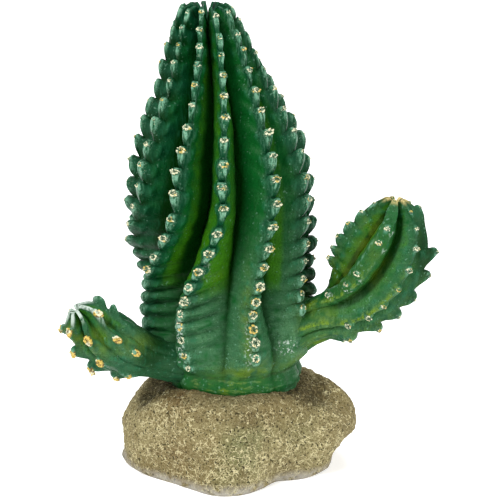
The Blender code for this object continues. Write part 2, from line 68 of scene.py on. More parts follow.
# A tooth in profile: share of its pitch, how far along the crest it has come, and its height.
TOOTH_CURVE = (
    (0, 0, 0), (0.08, 0.08, 0.14), (0.17, 0.16, 0.36), (0.28, 0.27, 0.6), (0.4, 0.41, 0.81),
    (0.52, 0.56, 0.95), (0.64, 0.72, 1), (0.75, 0.86, 0.97), (0.84, 0.97, 0.82), (0.91, 1.02, 0.56),
    (0.965, 1.02, 0.22), (1, 1, 0),
)
ARM_TOOTH_CURVE = (
    (0, 0, 0), (0.13, 0.13, 0.06), (0.28, 0.28, 0.24), (0.42, 0.43, 0.52), (0.56, 0.59, 0.82),
    (0.68, 0.73, 0.99), (0.77, 0.84, 0.98), (0.86, 0.94, 0.72), (0.94, 0.99, 0.3), (1, 1, 0),
)
ROUND_TOOTH_CURVE = (
    (0, 0, 0), (0.03, 0.02, 0.3), (0.09, 0.08, 0.58), (0.2, 0.19, 0.82), (0.35, 0.35, 0.96),
    (0.5, 0.52, 1), (0.65, 0.68, 0.97), (0.8, 0.83, 0.84), (0.91, 0.93, 0.6), (0.97, 0.98, 0.32),
    (1, 1, 0),
)
WIDE_AT, TIP_AT = 0.7, 0.7  # where a tooth is widest and has its areole, as shares of its pitch
EVEN_ENDS = 1.5  # so many teeth at each end of a rib stay near the even count
SINK_RADIUS = 4  # nearer the axis than this, the valleys run up to the crests
# The soft shoulder beside a tooth: how far from the crest's middle, its width and its height.
SHOULDER_AT, SHOULDER_WIDTH, SHOULDER_RISE = 4.4, 1.3, 0.26
# Where on the tooth it starts, and how its hump is raised and then cut off.
SHOULDER_FROM, SHOULDER_GAIN, SHOULDER_CUT = 0.1, 1.4, 0.3
FOLD_START, FOLD_END = 0.1, 0.25  # how much of a side a fold takes to start and to end
# Grid columns of half a rib: from its crest's middle to its edge at 1, and on to a valley at 2.
COLUMNS_ON_CREST = (0, 0.28, 0.56, 0.8, 1)
COLUMNS_ON_SIDE = (1.06, 1.13, 1.21, 1.3, 1.41, 1.54, 1.7, 1.86, 1.97)
ROWS_PER_TOOTH, PLAIN_ROWS = 14, 10

# Small unevenness of the cast skin: wavelength and height.
SKIN_WAVES = ((14, 0.55), (5, 0.3), (2.2, 0.14))
WRINKLE_LENGTHS = (7, 7, 1.5)  # of level wrinkles low on the column
WRINKLED_BELOW, WRINKLE_FADE = 78, 6
# The skin is smooth at its end and the wrinkles fade at a crest: over what length and share.
SMOOTH_END, SMOOTH_CREST = 12, 0.2
# How far paint reaches: in a notch and beside a crest, in millimetres, and on a crest's edge and
# from a crest down, as shares of a side.
NOTCH_REACH, LIME_REACH, EDGE_REACH, CREST_REACH = 4.4, 1.5, 0.12, 0.35
# Where on a side the crease's painted shade starts, and how softly the yellow and the dark wash, partly
# painted shade, start.
CREASE_FROM, YELLOW_FADE, DARK_FADE = 0.8, 0.3, 0.75
# Where on a tooth its neck, and its shoulder with its painted highlight, start to be painted, and over
# how much of it.
NECK_PAINT_FROM, SHOULDER_PAINT_FROM, PAINT_OVER = 0.12, 0.3, 0.4
APEX_FADE = 1.3  # the streaks at an end fade out at so many of their reaches

# ---- The areoles: small rosettes on the teeth ----

AREOLE_HEIGHT = 0.8
AREOLE_BUMPS = (6, 10)  # the fewest, and one more than the most
AREOLE_AROUND, AREOLE_RINGS = 30, 6
# Chance size; size by its tooth's height, what is added to that, and its limits.
AREOLE_SPREAD, BY_TOOTH, AREOLE_LEAST, AREOLE_SIZES = (0.8, 1.15), 0.24, 0.4, (0.5, 1.15)
BUMP_SPREAD = (0.1, 1.3)  # chance height of each bump
AREOLE_TILT, AREOLE_LIFT = 0.5, 0.15  # how far one leans up the rib, and stands off it
# Its wall of bumps and its rim that turns down, as shares of its radius.
WALL_AT, WALL_WIDTH, RIM_AT = 0.7, 0.2, 0.74

# ---- What holds for a ribbed body, where its own settings say nothing else ----

DEFAULTS = dict(
    # Its shape: see the column's settings, which have the same names.
    pitch=EVERYWHERE, broad=EVERYWHERE, sink=NOWHERE, bosses=(), crease_shift={}, wrinkled=0,
    pleat_share=1, rib_teeth=1, missing={}, round_below=(0, -1), tooth_curve=TOOTH_CURVE,
    big_teeth={},  # the share of the teeth that stand out
    stagger=None,  # how far each rib's teeth stand off the even count, in teeth: by chance
    width=1,  # each rib's crest, as a share
    rounded=0,  # how far a rib's teeth are lobes
    # The knob on a tooth: half its width at its foot and at its tip, and the slope beside it.
    knob_half=(0.3, 1.2), knob_side=2.1,
    # The areoles: each rib's share, their radius across and along the rib, and how full they are.
    areole=1, bare={}, areole_across=1.9, areole_along=((0, 1.25), (200, 1.25)), areole_fill=0,
    # The paint, with the dusty paint all over.
    # The dark wash from the valleys up and the dark wash between the teeth are partly painted shade.
    dark=0.4, dark_height=EVERYWHERE, yellow=0.5, yellow_edge=0.2, yellow_height=EVERYWHERE,
    cool=0.4, crest_cool=0.9, dusty=1, dusty_from=400, dusty_to=300, notch=0.3,
    edge=1, edged=NOWHERE,
    lime=0, lime_height=NOWHERE,  # yellow-green beside the crests
    # crease: a dark line of painted shade in the valleys.
    crease=0.6,  # dark line in the valleys
    # Pale streaks at the end: how far down each rib, and how wide as a share of its side.
    apex_reach=0.001, apex_width=0.5,
    has_foot=False, spots={},
)

# ---- The column ----

COLUMN_SPINE = (
    (30, 0.4, 0), (41, 0.2, 0), (50, -0.4, 0.2), (60, -1.6, 0.4), (75, -2.8, 0.8), (95, -3.8, 1.2),
    (120, -4.2, 1.6), (142, -5.9, 1.8), (158, -7.9, 2), (174, -9.2, 2),
)
COLUMN_RIBS = 11
FRONT_RIB, FRONT_RIB_ANGLE = 3, 4  # the rib, counted from the left side, that faces the front
CROWN_TWIST = ((118, 0), (134, 5), (148, 10), (160, 16), (172, 18))
RIB_SHIFT = (0, 0, 0, -2.3, 0.8, 0, 0, 0, 0, 0, 0)  # how far each stands off the even spread
# Below the middle the ribs wind to the left: where each starts and ends, and by how much.
DRIFT_FROM = (112, 112, 108, 108, 112, 112, 112, 112, 112, 112, 112)
DRIFT_TO = (64, 64, 60, 58, 64, 64, 64, 64, 64, 64, 64)
RIB_DRIFT = (-34, -52, -42, -35.2, -19.3, -13, -4, -4, -8, -14, -20)
BOSS_FROM, BOSS_CLEAR = 40, 4.5  # the swellings start above the foot

COLUMN = dict(
    # Crest radius at each height, from the flat cut over the crown into its pit.
    crest=(
        (30, 23.6), (33.6, 24.2), (34.8, 23.7), (36.6, 24.6), (39.6, 24.4), (41.6, 23.5), (45, 25.4),
        (56, 27.9), (66, 29.2), (78, 30.5), (90, 31.2), (106, 30.9), (118, 29), (130, 25), (142, 20),
        (154, 15.8), (163, 12.5), (169, 9.8), (172.6, 7.2), (173.2, 5.4), (171.4, 3.6), (168, 1.8),
        (165, 0),
    ),
    # How far the valleys lie below the crests, where they run over the crown into its pit.
    sink=((30, 0), (150, 0), (163, 2), (173, 5.5)),
    # The valleys' radius as a share of the crest's.
    valley=(
        (30, 0.98), (41, 0.97), (46, 0.88), (58, 0.78), (72, 0.67), (90, 0.58), (112, 0.55), (140, 0.5),
        (156, 0.44), (168, 0.34), (174, 0.3),
    ),
    # How far a rib's side bulges, as a share of the crest radius.
    swell=((30, 0.03), (60, 0.065), (80, 0.05), (110, 0.04), (174, 0.03)),
    # A valley lies half way between its ribs, apart from these: its rib on the left, and how
    # far the crease is moved to the right at each height, as a share of the gap.
    crease_shift={
        2: ((60, 0), (80, 0.06), (100, 0.1), (140, 0.06), (165, 0)),
        3: ((44, 0), (55, 0.08), (68, 0.17), (84, 0.13), (104, 0.03), (120, 0)),
    },
    # The teeth: how many on a rib, from where to where, their pitch, size and upward lean.
    teeth=20,
    reach=(42, 172),
    pitch=(
        (42, 7.4), (54, 6.6), (66, 5.6), (78, 5.8), (92, 7.6), (120, 8.2), (146, 8), (160, 6.6),
        (172, 6.4),
    ),
    tooth_size=(
        (42, 0.9), (50, 1.6), (62, 2.7), (80, 2.9), (105, 3), (124, 2.8), (140, 2.1), (156, 1.4),
        (172, 0.9),
    ),
    tooth_lift=((38, -0.1), (70, 0), (95, 0.15), (120, 0.22), (172, 0.25)),
    # How wide the crest and its knobs are at each height, as a share of their full widths.
    broad=((38, 1), (70, 1.1), (110, 1), (130, 0.85), (150, 0.7), (172, 0.6)),
    # Each rib's share of the teeth's size and of the areoles'.
    rib_teeth=(1.3, 1.2, 1.15, 0.95, 1, 1.1, 1.2, 1.2, 1.2, 1.2, 1.2),
    areole=(0.6, 0.75, 1, 1, 1.08, 0.85, 0.7, 0.6, 0.8, 0.8, 0.8),
    # The teeth of each rib that are missing, and those that have no areole.
    missing={4: (0,), 5: (0, 1, 2)},
    bare={1: (0, 1, 2, 3, 4, 5, 6), 2: (0, 1, 2, 3, 4, 5), 6: (0, 1, 2, 3, 4, 5)},
    round_below=(92, 66),  # the teeth turn into level rolls between these heights
    wrinkled=0.38,
    areole_along=((42, 2.1), (62, 2), (78, 1.5), (92, 1.25), (172, 1.25)),
    # Folds across a rib's side, one to a tooth: their depth, and each side's share of it.
    pleat=((42, 0.1), (48, 1.2), (56, 2.1), (72, 2), (80, 0.8), (100, 0.35), (170, 0.15)),
    pleat_share=(
        (1, 1, 1.1, 0.8, 0.12, 0.2, 0.6, 0.8, 0.8, 0.8, 0.9),
        (1, 1.1, 1.4, 0.9, 0.12, 0.3, 0.8, 0.8, 0.8, 0.8, 0.9),
    ),
    # Where the arms grow, the column swells towards them: place, way, reach and swell.
    bosses=(
        ((25, -8.5, 50), (0.85, -0.2, 0.45), 9.5, 5.5), ((-22, -11, 45), (-0.85, -0.5, 0.2), 8.5, 4.2),
        ((-28, -7, 54), (-1, -0.2, 0), 5, 3.2),
    ),
    # Dark wash, partly real and partly painted shade in the valleys: how much of the side it covers, from
    # the valley up.
    dark=(
        (0.5, 0.5, 0.72, 0.2, 0.22, 0.3, 0.5, 0.5, 0.5, 0.5, 0.5),
        (0.5, 0.7, 0.54, 0.06, 0.35, 0.5, 0.5, 0.5, 0.5, 0.5, 0.5),
    ),
    dark_height=((52, 0), (68, 0.5), (84, 1), (120, 1), (140, 0.75), (172, 0.5)),
    # Yellow-green: its strength, where on a side it starts, and where it is laid by height.
    yellow=(
        (0, 0, 0, 0.8, 0.15, 0.85, 0.5, 0.3, 0.3, 0.2, 0.1),
        (0, 0.1, 0.8, 0.75, 0.75, 0.5, 0.4, 0.3, 0.3, 0.2, 0.1),
    ),
    yellow_edge=(0.3, 0.3, 0.2, 0, 0.2, 0.3, 0.3, 0.3, 0.3, 0.3, 0.3),
    yellow_height=(
        (30, 0.6), (44, 0.35), (56, 0.2), (68, 0.15), (76, 0.95), (92, 1), (110, 0.7), (130, 0.7),
        (150, 0.65), (172, 0.3),
    ),
    # Blue-green over a side's whole width.
    cool=(
        (1, 0.9, 0.7, 0.1, 0, 0.15, 0.4, 0.9, 0.9, 0.9, 1), (1, 0.6, 0, 0, 0.2, 0.6, 0.9, 0.9, 0.9, 1, 1),
    ),
    # Dusty paint below: its strength, the height it starts at and the height it is full at.
    dusty=(
        (0.2, 0.2, 0.3, 0.6, 1, 1, 1, 0.8, 0.8, 0.6, 0.4),
        (0.2, 0.3, 0.5, 1, 1, 1, 0.8, 0.8, 0.8, 0.6, 0.4),
    ),
    dusty_from=(76, 76, 76, 76, 106, 118, 90, 90, 90, 90, 84),
    dusty_to=(72, 72, 72.5, 72.5, 66, 60, 60, 60, 60, 60, 66),
    # Dark wash between the teeth, partly painted shade in the notches, and pale paint on the crests'
    # edges.
    notch=(1, 1, 0.5, 0.15, 0.4, 0.6, 0.9, 1, 1, 1, 1),
    edge=(0, 0, 0.8, 1, 0.8, 0.3, 0, 0, 0.1, 0.1, 0.1),
    edged=((100, 0), (130, 0.6), (172, 1)),
    apex_reach=1.5,
    has_foot=True,
    spots=dict(
        olive=(
            ((9, -27, 43.5), (9, 9, 3), 1), ((-4, -27, 38.5), (12, 6, 3), 1),
            ((-13, -24, 38), (4.5, 6, 3), 0.6), ((27, -16, 45), (6, 8, 2.6), 0.7),
            ((5.5, -30, 62), (1.5, 6, 13), 0.75), ((30, -10, 62), (5, 9, 5), 0.6),
            ((-4, -30, 77), (2, 6, 4), 0.6),
        ),
        # Pale patches, partly painted highlight.
        pale=(
            ((0, -8, 169), (5, 8, 4), 0.6), ((12, -30, 84), (8, 8, 20), 0.4),
            ((21, -20, 96), (5, 8, 20), 0.35), ((24, -20, 55), (7, 8, 9), 0.95),
            ((-9, -31, 60), (6, 7, 10), 0.75),
        ),
        rust=(((30.5, -13, 52), (1.3, 6, 1.6), 1),),
        frost=(
            ((20, -24, 52), (4, 8, 3), 1), ((30, -14, 62), (3, 8, 3), 0.8),
            ((6, -30, 54), (1.6, 6, 12), 0.8), ((-18.5, -22, 56), (1.7, 8, 12), 0.8),
            ((-9, -28, 84), (3, 6, 8), 0.5),
        ),
        shade=(
            ((32, 4, 72), (5, 12, 13), 0.9), ((-30, -6, 47), (8, 12, 7), 0.5),
            ((17, -26, 66), (2.6, 6, 1.1), 0.8), ((22.5, -23, 69), (3, 6, 1.2), 0.8),
        ),
    ),
)

# ---- The arms: their tables go by shares of the spine's length ----

ARM_RIBS = 7
ARM = dict(
    sink=((0, 0), (0.8, 0), (0.93, 1), (1, 2.6)),
    swell=((0, 0.06), (1, 0.05)),
    pleat=((0, 0.15), (0.5, 0.2), (1, 0.1)),
    broad=((0, 0.6), (1, 0.6)),
    tooth_lift=((0, 0), (1, 0.1)),
    tooth_curve=ARM_TOOTH_CURVE,
    knob_half=(0.3, 0.9),
    knob_side=2.4,
)

RIGHT_ARM = dict(
    points=(
        (11, -4, 49), (21, -7.5, 54), (31.5, -10, 59.8), (41.5, -12, 65.5), (50, -13.5, 76.5),
        (54.8, -14, 88), (57.2, -13.5, 97.5), (58.4, -13, 106.2),
    ),
    seam=(0.2, -1, 0),
    # The first rib's direction, and how far each rib stands off the even spread, in degrees.
    turn=((0, -80), (0.34, -74), (0.46, -52), (0.6, -34), (0.7, -26), (0.85, -14), (1, -8)),
    rib_shift=(
        (0, -2, 16, 0, 0, 0, 0, -8), (0.45, -2, 15, 0, 0, 0, 0, -8), (0.75, -2, 1, 0, 0, 0, 0, -8),
        (1, -2, -3, 0, 0, 0, 0, -4),
    ),
    crest=(
        (0, 11), (0.14, 9.6), (0.26, 8.2), (0.36, 9), (0.46, 11.6), (0.58, 14.2), (0.72, 15.6),
        (0.84, 14.2), (0.93, 10.4), (0.985, 5.4), (1, 3), (0.985, 1.2), (0.97, 0),
    ),
    valley=((0, 0.9), (0.35, 0.8), (0.6, 0.66), (0.9, 0.56), (1, 0.4)),
    crease_shift={0: ((0, -0.14), (0.45, -0.17), (0.7, -0.1), (0.9, -0.04), (1, 0))},
    teeth=9,
    reach=(0.3, 0.97),
    tooth_size=((0, 1.2), (0.35, 2), (0.7, 2.3), (0.9, 1.8), (1, 0.7)),
    rib_teeth=(0.25, 0.5, 1.2, 1.1, 1, 1, 1.5),
    rounded=(0, 0, 0, 0, 0, 0, 0.65),
    width=(4.2, 1, 1, 1, 1, 1, 1),  # the first rib's crest is flat and broad
    missing={0: (0, 2, 5, 8), 1: (0,), 2: (0, 7), 5: (0, 1, 2, 3, 4, 5, 6, 7, 8), 6: (0, 1, 2)},
    big_teeth={(2, 6): 1.5},
    stagger=(0, 0.1, -0.3, 0.2, -0.2, 0.1, 0.25),
    areole=0.8,
    # Dark wash, partly painted shade in the valleys, on each rib's left and right sides.
    dark=((0.2, 0.42, 0.1, 0.3, 0.3, 0.3, 0.3), (0.42, 0.08, 0.3, 0.3, 0.3, 0.3, 0.35)),
    dark_height=((0, 0), (0.3, 0.1), (0.5, 1), (1, 1)),
    yellow=((0.7, 0.45, 0.4, 0.4, 0.4, 0.4, 0.6), (0.4, 0.4, 0.4, 0.4, 0.4, 0.5, 0.6)),
    cool=(0.15, 0.25, 0.6, 0.6, 0.6, 0.5, 0.2),
    crest_cool=(0.1, 0.6, 0.8, 0.8, 0.8, 0.8, 0.5),
    dusty=(0.3, 0.6, 0.7, 0.5, 0.5, 0.5, 0.4),
    lime=((0, 1, 0.3, 0, 0, 0, 0), (1, 0.3, 0, 0, 0, 0, 0.3)),
    lime_height=((0, 0.4), (0.25, 1), (0.6, 0.9), (0.75, 0.2), (1, 0)),
    edge=((0.8, 0, 0, 0, 0, 0, 0), (0.3, 0, 0, 0, 0, 0, 0)),
    edged=((0, 1), (1, 1)),
    crease=0.4,
    apex_reach=7,
    spots=dict(
        olive=(
            ((49, -16, 90), (3.5, 8, 8), 0.9), ((33, -18, 64), (5, 8, 2.2), 0.6),
            ((31, -12, 51), (3, 8, 4), 0.9), ((40, -14, 80), (3, 8, 5), 0.6),
        ),
        pale=(((38, -20, 62), (8, 8, 6), 0.8), ((50, -26, 66), (8, 8, 6), 0.6)),
        frost=(
            ((56.4, -27, 97), (1.5, 5, 1.5), 0.6), ((53.3, -27, 91), (1.5, 5, 1.5), 0.6),
            ((45.3, -26, 79.5), (1.6, 5, 1.5), 0.6), ((41, -24, 75.5), (2, 5, 1.5), 0.7),
            ((34.6, -20, 71.5), (2, 5, 1.5), 0.7), ((56, -26, 66), (8, 6, 3), 0.4),
        ),
        shade=(
            ((33, -6, 66), (5, 8, 3), 0.7), ((69, -18, 88), (3.4, 10, 9), 1),
            ((38, -10, 76), (3, 8, 8), 0.6), ((62, -20, 72), (4, 8, 3), 0.4),
        ),
    ),
)

LEFT_ARM = dict(
    points=(
        (-8, -5, 43), (-20, -10.5, 44.6), (-31, -16, 48.4), (-41, -21.5, 54.4), (-49.3, -25.5, 61.6),
        (-55.6, -28, 69.8),
    ),
    seam=(0, -0.6, 0.8),
    turn=((0, -5), (0.4, -4), (0.62, 1), (0.79, 9), (0.9, 26), (1, 46)),
    rib_shift=((0, 0, 0, 0, 0, 9, 0, 0), (1, 0, 0, 0, 0, 9, 0, 0)),
    crest=(
        (0, 8.6), (0.2, 8.2), (0.38, 7.8), (0.55, 9.6), (0.7, 10.5), (0.83, 9.3), (0.93, 7.6),
        (0.985, 4.2), (1, 2.4), (0.985, 1), (0.97, 0),
    ),
    valley=((0, 0.97), (0.45, 0.95), (0.66, 0.86), (0.8, 0.7), (1, 0.4)),
    teeth=4,
    reach=(0.42, 0.95),
    tooth_size=((0, 1.2), (0.4, 1.6), (0.7, 2.2), (0.9, 2), (1, 1)),
    rib_teeth=(1.4, 0.3, 0.9, 0.9, 1.2, 0.9, 0.6),
    missing={0: (0, 1), 1: (0, 1, 2, 3), 2: (0, 1), 5: (3,), 6: (0,)},
    bare={0: (2, 3)},
    stagger=(0.3, 0, 0.2, 0, 0.35, 0.6, -0.35),
    areole_across=1.5,
    areole_along=((0, 2.3), (1, 2.3)),
    areole_fill=0.18,
    dark_height=((0, 0), (0.6, 0), (0.8, 0.5), (1, 0.7)),
    yellow=0.65,
    yellow_height=((0, 0), (0.6, 0), (0.78, 0.75), (1, 1)),
    cool=0.85,
    dusty=0.7,
    notch=0,
    crease=0.2,
    apex_reach=(9, 9, 9, 9, 9, 9, 15),
    apex_width=0.42,
    spots=dict(
        olive=(
            ((-56, -31, 60), (3, 6, 3), 0.9), ((-47, -30, 59), (3, 6, 4), 0.8),
            ((-37, -24, 56), (5, 6, 2.5), 0.9),
        ),
        # Pale patches at the head: painted highlight.
        pale=(((-50, -30, 58), (6, 8, 4), 0.7), ((-38, -22, 58), (5, 8, 4), 0.5)),
        shade=(((-29, -18, 51), (5, 12, 6), 1), ((-26, -14, 45), (8, 12, 6), 0.6)),
    ),
)

# ---- The stone ----

# Its reach from the middle by the angle from the front: where it stands, and at its belly.
STONE_FLOOR = (
    (-180, 32), (-150, 35), (-120, 40), (-95, 42.3), (-72, 36.5), (-45, 31), (-28, 31.5), (-8, 34.3),
    (8, 32.6), (24, 28.6), (40, 26), (58, 32), (78, 36.5), (100, 39), (130, 37), (155, 33), (180, 32),
)
STONE_BELLY = (
    (-180, 33), (-150, 36), (-120, 39.8), (-90, 40.3), (-62, 38), (-40, 33.5), (-12, 33.5), (8, 32),
    (32, 30.5), (52, 35), (75, 43), (95, 46.5), (118, 43.5), (150, 36), (180, 33),
)
STONE_LEDGE = 27  # the radius of its top
# Its side from the floor up: height, share of the way to the belly, then to the ledge.
STONE_SIDE = (
    (1.6, 0, 0), (6, 0.45, 0), (11, 0.85, 0), (16, 1, 0), (20.5, 1, 0.07), (24.5, 1, 0.2), (28, 1, 0.34),
    (30.8, 1, 0.54), (32.8, 1, 0.78), (34, 1, 1),
)
# The rings over its ledge: how far they rise, and their radii as shares of the ledge's.
STONE_TOP_RISE, STONE_TOP_SHARES = 0.8, (0.93, 0.86, 0.8)
STONE_UNDER_SHARES = (0.3, 0.6, 0.9, 0.965)  # the rings on the floor, as shares of its reach
# How far the ledge is lower behind, and from what height up, over what height.
STONE_BACK_DROP, DROP_FROM, DROP_OVER = 3.5, 18, 14
STONE_AROUND, STONE_UP = 460, 170
STONE_WAVES = ((17, 1.6), (8, 0.9), (3.6, 0.6), (1.6, 0.42), (0.9, 0.2))
# Lumps and hollows: the place, how far it spreads and how far it stands out.
STONE_LUMPS = (
    ((-17, -26, 31), 6, 3), ((-28, -18, 28), 5, 1.6), ((-30, -9, 31), 4, -3), ((33, -9, 31), 5, -3),
    ((38, -16, 27), 4, 1.2), ((2, -29, 33), 8, 1.8), ((44, 2, 18), 9, 1.2), ((42, -2, 6.5), 5, -5),
    ((40, -11, 6.5), 4, -2.5), ((42, 7, 6.5), 4, -3), ((-41, -2, 8), 3.5, -1.8), ((25, -25, 12), 7, -2),
    ((-15, -34, 12), 6, -1.6),
)
PIT_SPACING, PIT_DEPTH, PIT_REACH = 2.3, 0.5, 0.34  # the reach is a share of the spacing
FLAT_BELOW, ROUGH_OVER = 0.2, 2.5  # it stands flat, and turns rough over the height above
STONE_SPOTS = dict(
    shade=(((-30, -9, 31), (6, 6, 5), 1), ((31, -10, 32), (8, 7, 4), 1)),
    rust=(((-18.5, -24, 35), (5, 6, 2.6), 1), ((-20, -32, 13), (6, 9, 6), 0.45)),
    squiggle=(
        ((4, -32, 10), (11, 12, 7), 1), ((-26, -24, 22), (6, 8, 8), 0.8), ((28, -20, 13), (9, 9, 7), 0.6),
        ((-16, -32, 8), (9, 9, 6), 0.6),
    ),
    moss=(
        ((6, -36, 18), (8, 10, 7), 1), ((-4, -34, 8), (6, 10, 4), 0.5), ((24, -22, 20), (5, 9, 6), 0.35),
    ),
    brown=(
        ((20, -28, 6), (3.5, 7, 3.5), 1), ((-20, -32, 13), (7, 9, 6), 0.6),
        ((8, -30, 30), (16, 8, 3), 0.6), ((38, -8, 20), (5, 9, 7), 0.5),
    ),
)

# ---- Camera and stage ----

TARGET = (6.5, 0, 83)
CAMERA_DISTANCE, CAMERA_ELEVATION = 800, 17
MM_PER_PIXEL, IMAGE_PIXELS = 0.364, 500
SENSOR_MM = 36
FLOOR_SIZE, FLOOR_GLOW, WORLD_GLOW = 12.0, 0.45, 0.55  # the floor in metres
LIGHTS_AIM = (0.0, 0.0, 0.08)
# The lights: place in metres, size and power.
LIGHTS = dict(
    key=((-0.7, -0.8, 1.0), 0.5, 16.0),
    fill=((0.9, -0.7, 0.5), 0.8, 7.0),
    top=((0.1, 0.3, 1.3), 0.6, 10.0),
)


# ---- Curves ----


def through(pairs, at):
    """A smooth curve through (station, value...) rows, read at `at` and held past its ends."""
    table = np.asarray(pairs, float)
    stations, values = table[:, 0], table[:, 1:]
    slopes = np.gradient(values, stations, axis=0)
    at = np.clip(np.asarray(at, float), stations[0], stations[-1])
    left = np.clip(np.searchsorted(stations, at, side="right") - 1, 0, len(stations) - 2)
    span = stations[left + 1] - stations[left]
    u = ((at - stations[left]) / span)[..., None]
    span = span[..., None]
    rise = 3 * u**2 - 2 * u**3
    made = values[left] * (1 - rise) + values[left + 1] * rise
    made += span * slopes[left] * (u - 2 * u**2 + u**3)
    made += span * slopes[left + 1] * (u**3 - u**2)
    return made[..., 0] if values.shape[1] == 1 else made


def smooth_step(share):
    share = np.clip(share, 0.0, 1.0)
    return share * share * (3 - 2 * share)


def fade(value, start, over):
    """0 up to the start and 1 from so far past it; `over` may be negative."""
    return smooth_step((value - start) / over)


def bell(value, reach):
    """1 where the value is 0, and next to nothing at two reaches."""
    return np.exp(-((value / reach) ** 2))


def chord_lengths(points):
    steps = np.linalg.norm(np.diff(np.asarray(points, float), axis=0), axis=1)
    return np.concatenate([[0.0], np.cumsum(steps)])


def unit(vectors):
    return vectors / np.maximum(np.linalg.norm(vectors, axis=-1, keepdims=True), 1e-12)


def waves(points, kinds, seed):
    """Smooth noise summed over (wavelength, height) pairs, at each point."""
    flat = points.reshape(-1, 3)
    total = np.zeros(len(flat))
    for k, (length, height) in enumerate(kinds):
        shift = np.array([seed * 17.3 + k * 5.1, seed * 3.7, k * 11.9])
        at = flat / length + shift
        total += height * np.array([noise.noise(Vector(p)) for p in at])
    return total.reshape(points.shape[:-1])


def near(points, middle, spread):
    """How near each point is to a place, from 0 to 1."""
    off = (points - np.array(middle)) / np.array(spread)
    return np.exp(-(off**2).sum(-1) / 2)


def spots(points, rows):
    """How much of a few soft spots is felt at each point, from 0 to 1."""
    total = np.zeros(points.shape[:-1])
    for middle, spread, strength in rows:
        total = np.maximum(total, strength * near(points, middle, spread))
    return total


def grid_normals(points):
    """Outward unit normals of a grid whose columns close round the body."""
    along = np.gradient(points, axis=0)
    across = np.roll(points, -1, axis=1) - np.roll(points, 1, axis=1)
    return unit(np.cross(across, along))


# ---- Spines: where the middle is, and which way a cross-section faces ----


class UprightSpine:
    """Level cross-sections. A distance along it is a height."""

    def __init__(self, rows):
        self.rows = rows

    def at(self, height):
        middle = through(self.rows, height)
        place = np.stack([middle[..., 0], middle[..., 1], height], axis=-1)
        front = np.broadcast_to([0.0, -1.0, 0.0], place.shape)
        right = np.broadcast_to([1.0, 0.0, 0.0], place.shape)
        along = np.broadcast_to([0.0, 0.0, 1.0], place.shape)
        return place, front, right, along


class BentSpine:
    """Cross-sections square to a curve through the points. `seam` is the way that faces 0."""

    STEPS = 240

    def __init__(self, points, seam):
        points = np.asarray(points, float)
        rows = np.column_stack([chord_lengths(points), points])
        fine = np.linspace(0.0, rows[-1, 0], self.STEPS)
        self.places = through(rows, fine)
        self.reach = chord_lengths(self.places)
        self.length = self.reach[-1]
        self.alongs = unit(np.gradient(self.places, self.reach, axis=0))
        front = np.asarray(seam, float)
        fronts = []
        for along in self.alongs:
            front = front - along * (front @ along)
            front = front / np.linalg.norm(front)
            fronts.append(front)
        self.fronts = np.array(fronts)

    def read(self, table, distance):
        return np.stack([np.interp(distance, self.reach, table[:, k]) for k in range(3)], -1)

    def at(self, distance):
        place = self.read(self.places, distance)
        along = unit(self.read(self.alongs, distance))
        front = self.read(self.fronts, distance)
        front = unit(front - along * (front * along).sum(-1, keepdims=True))
        return place, front, np.cross(along, front), along


# ---- The ribbed body ----


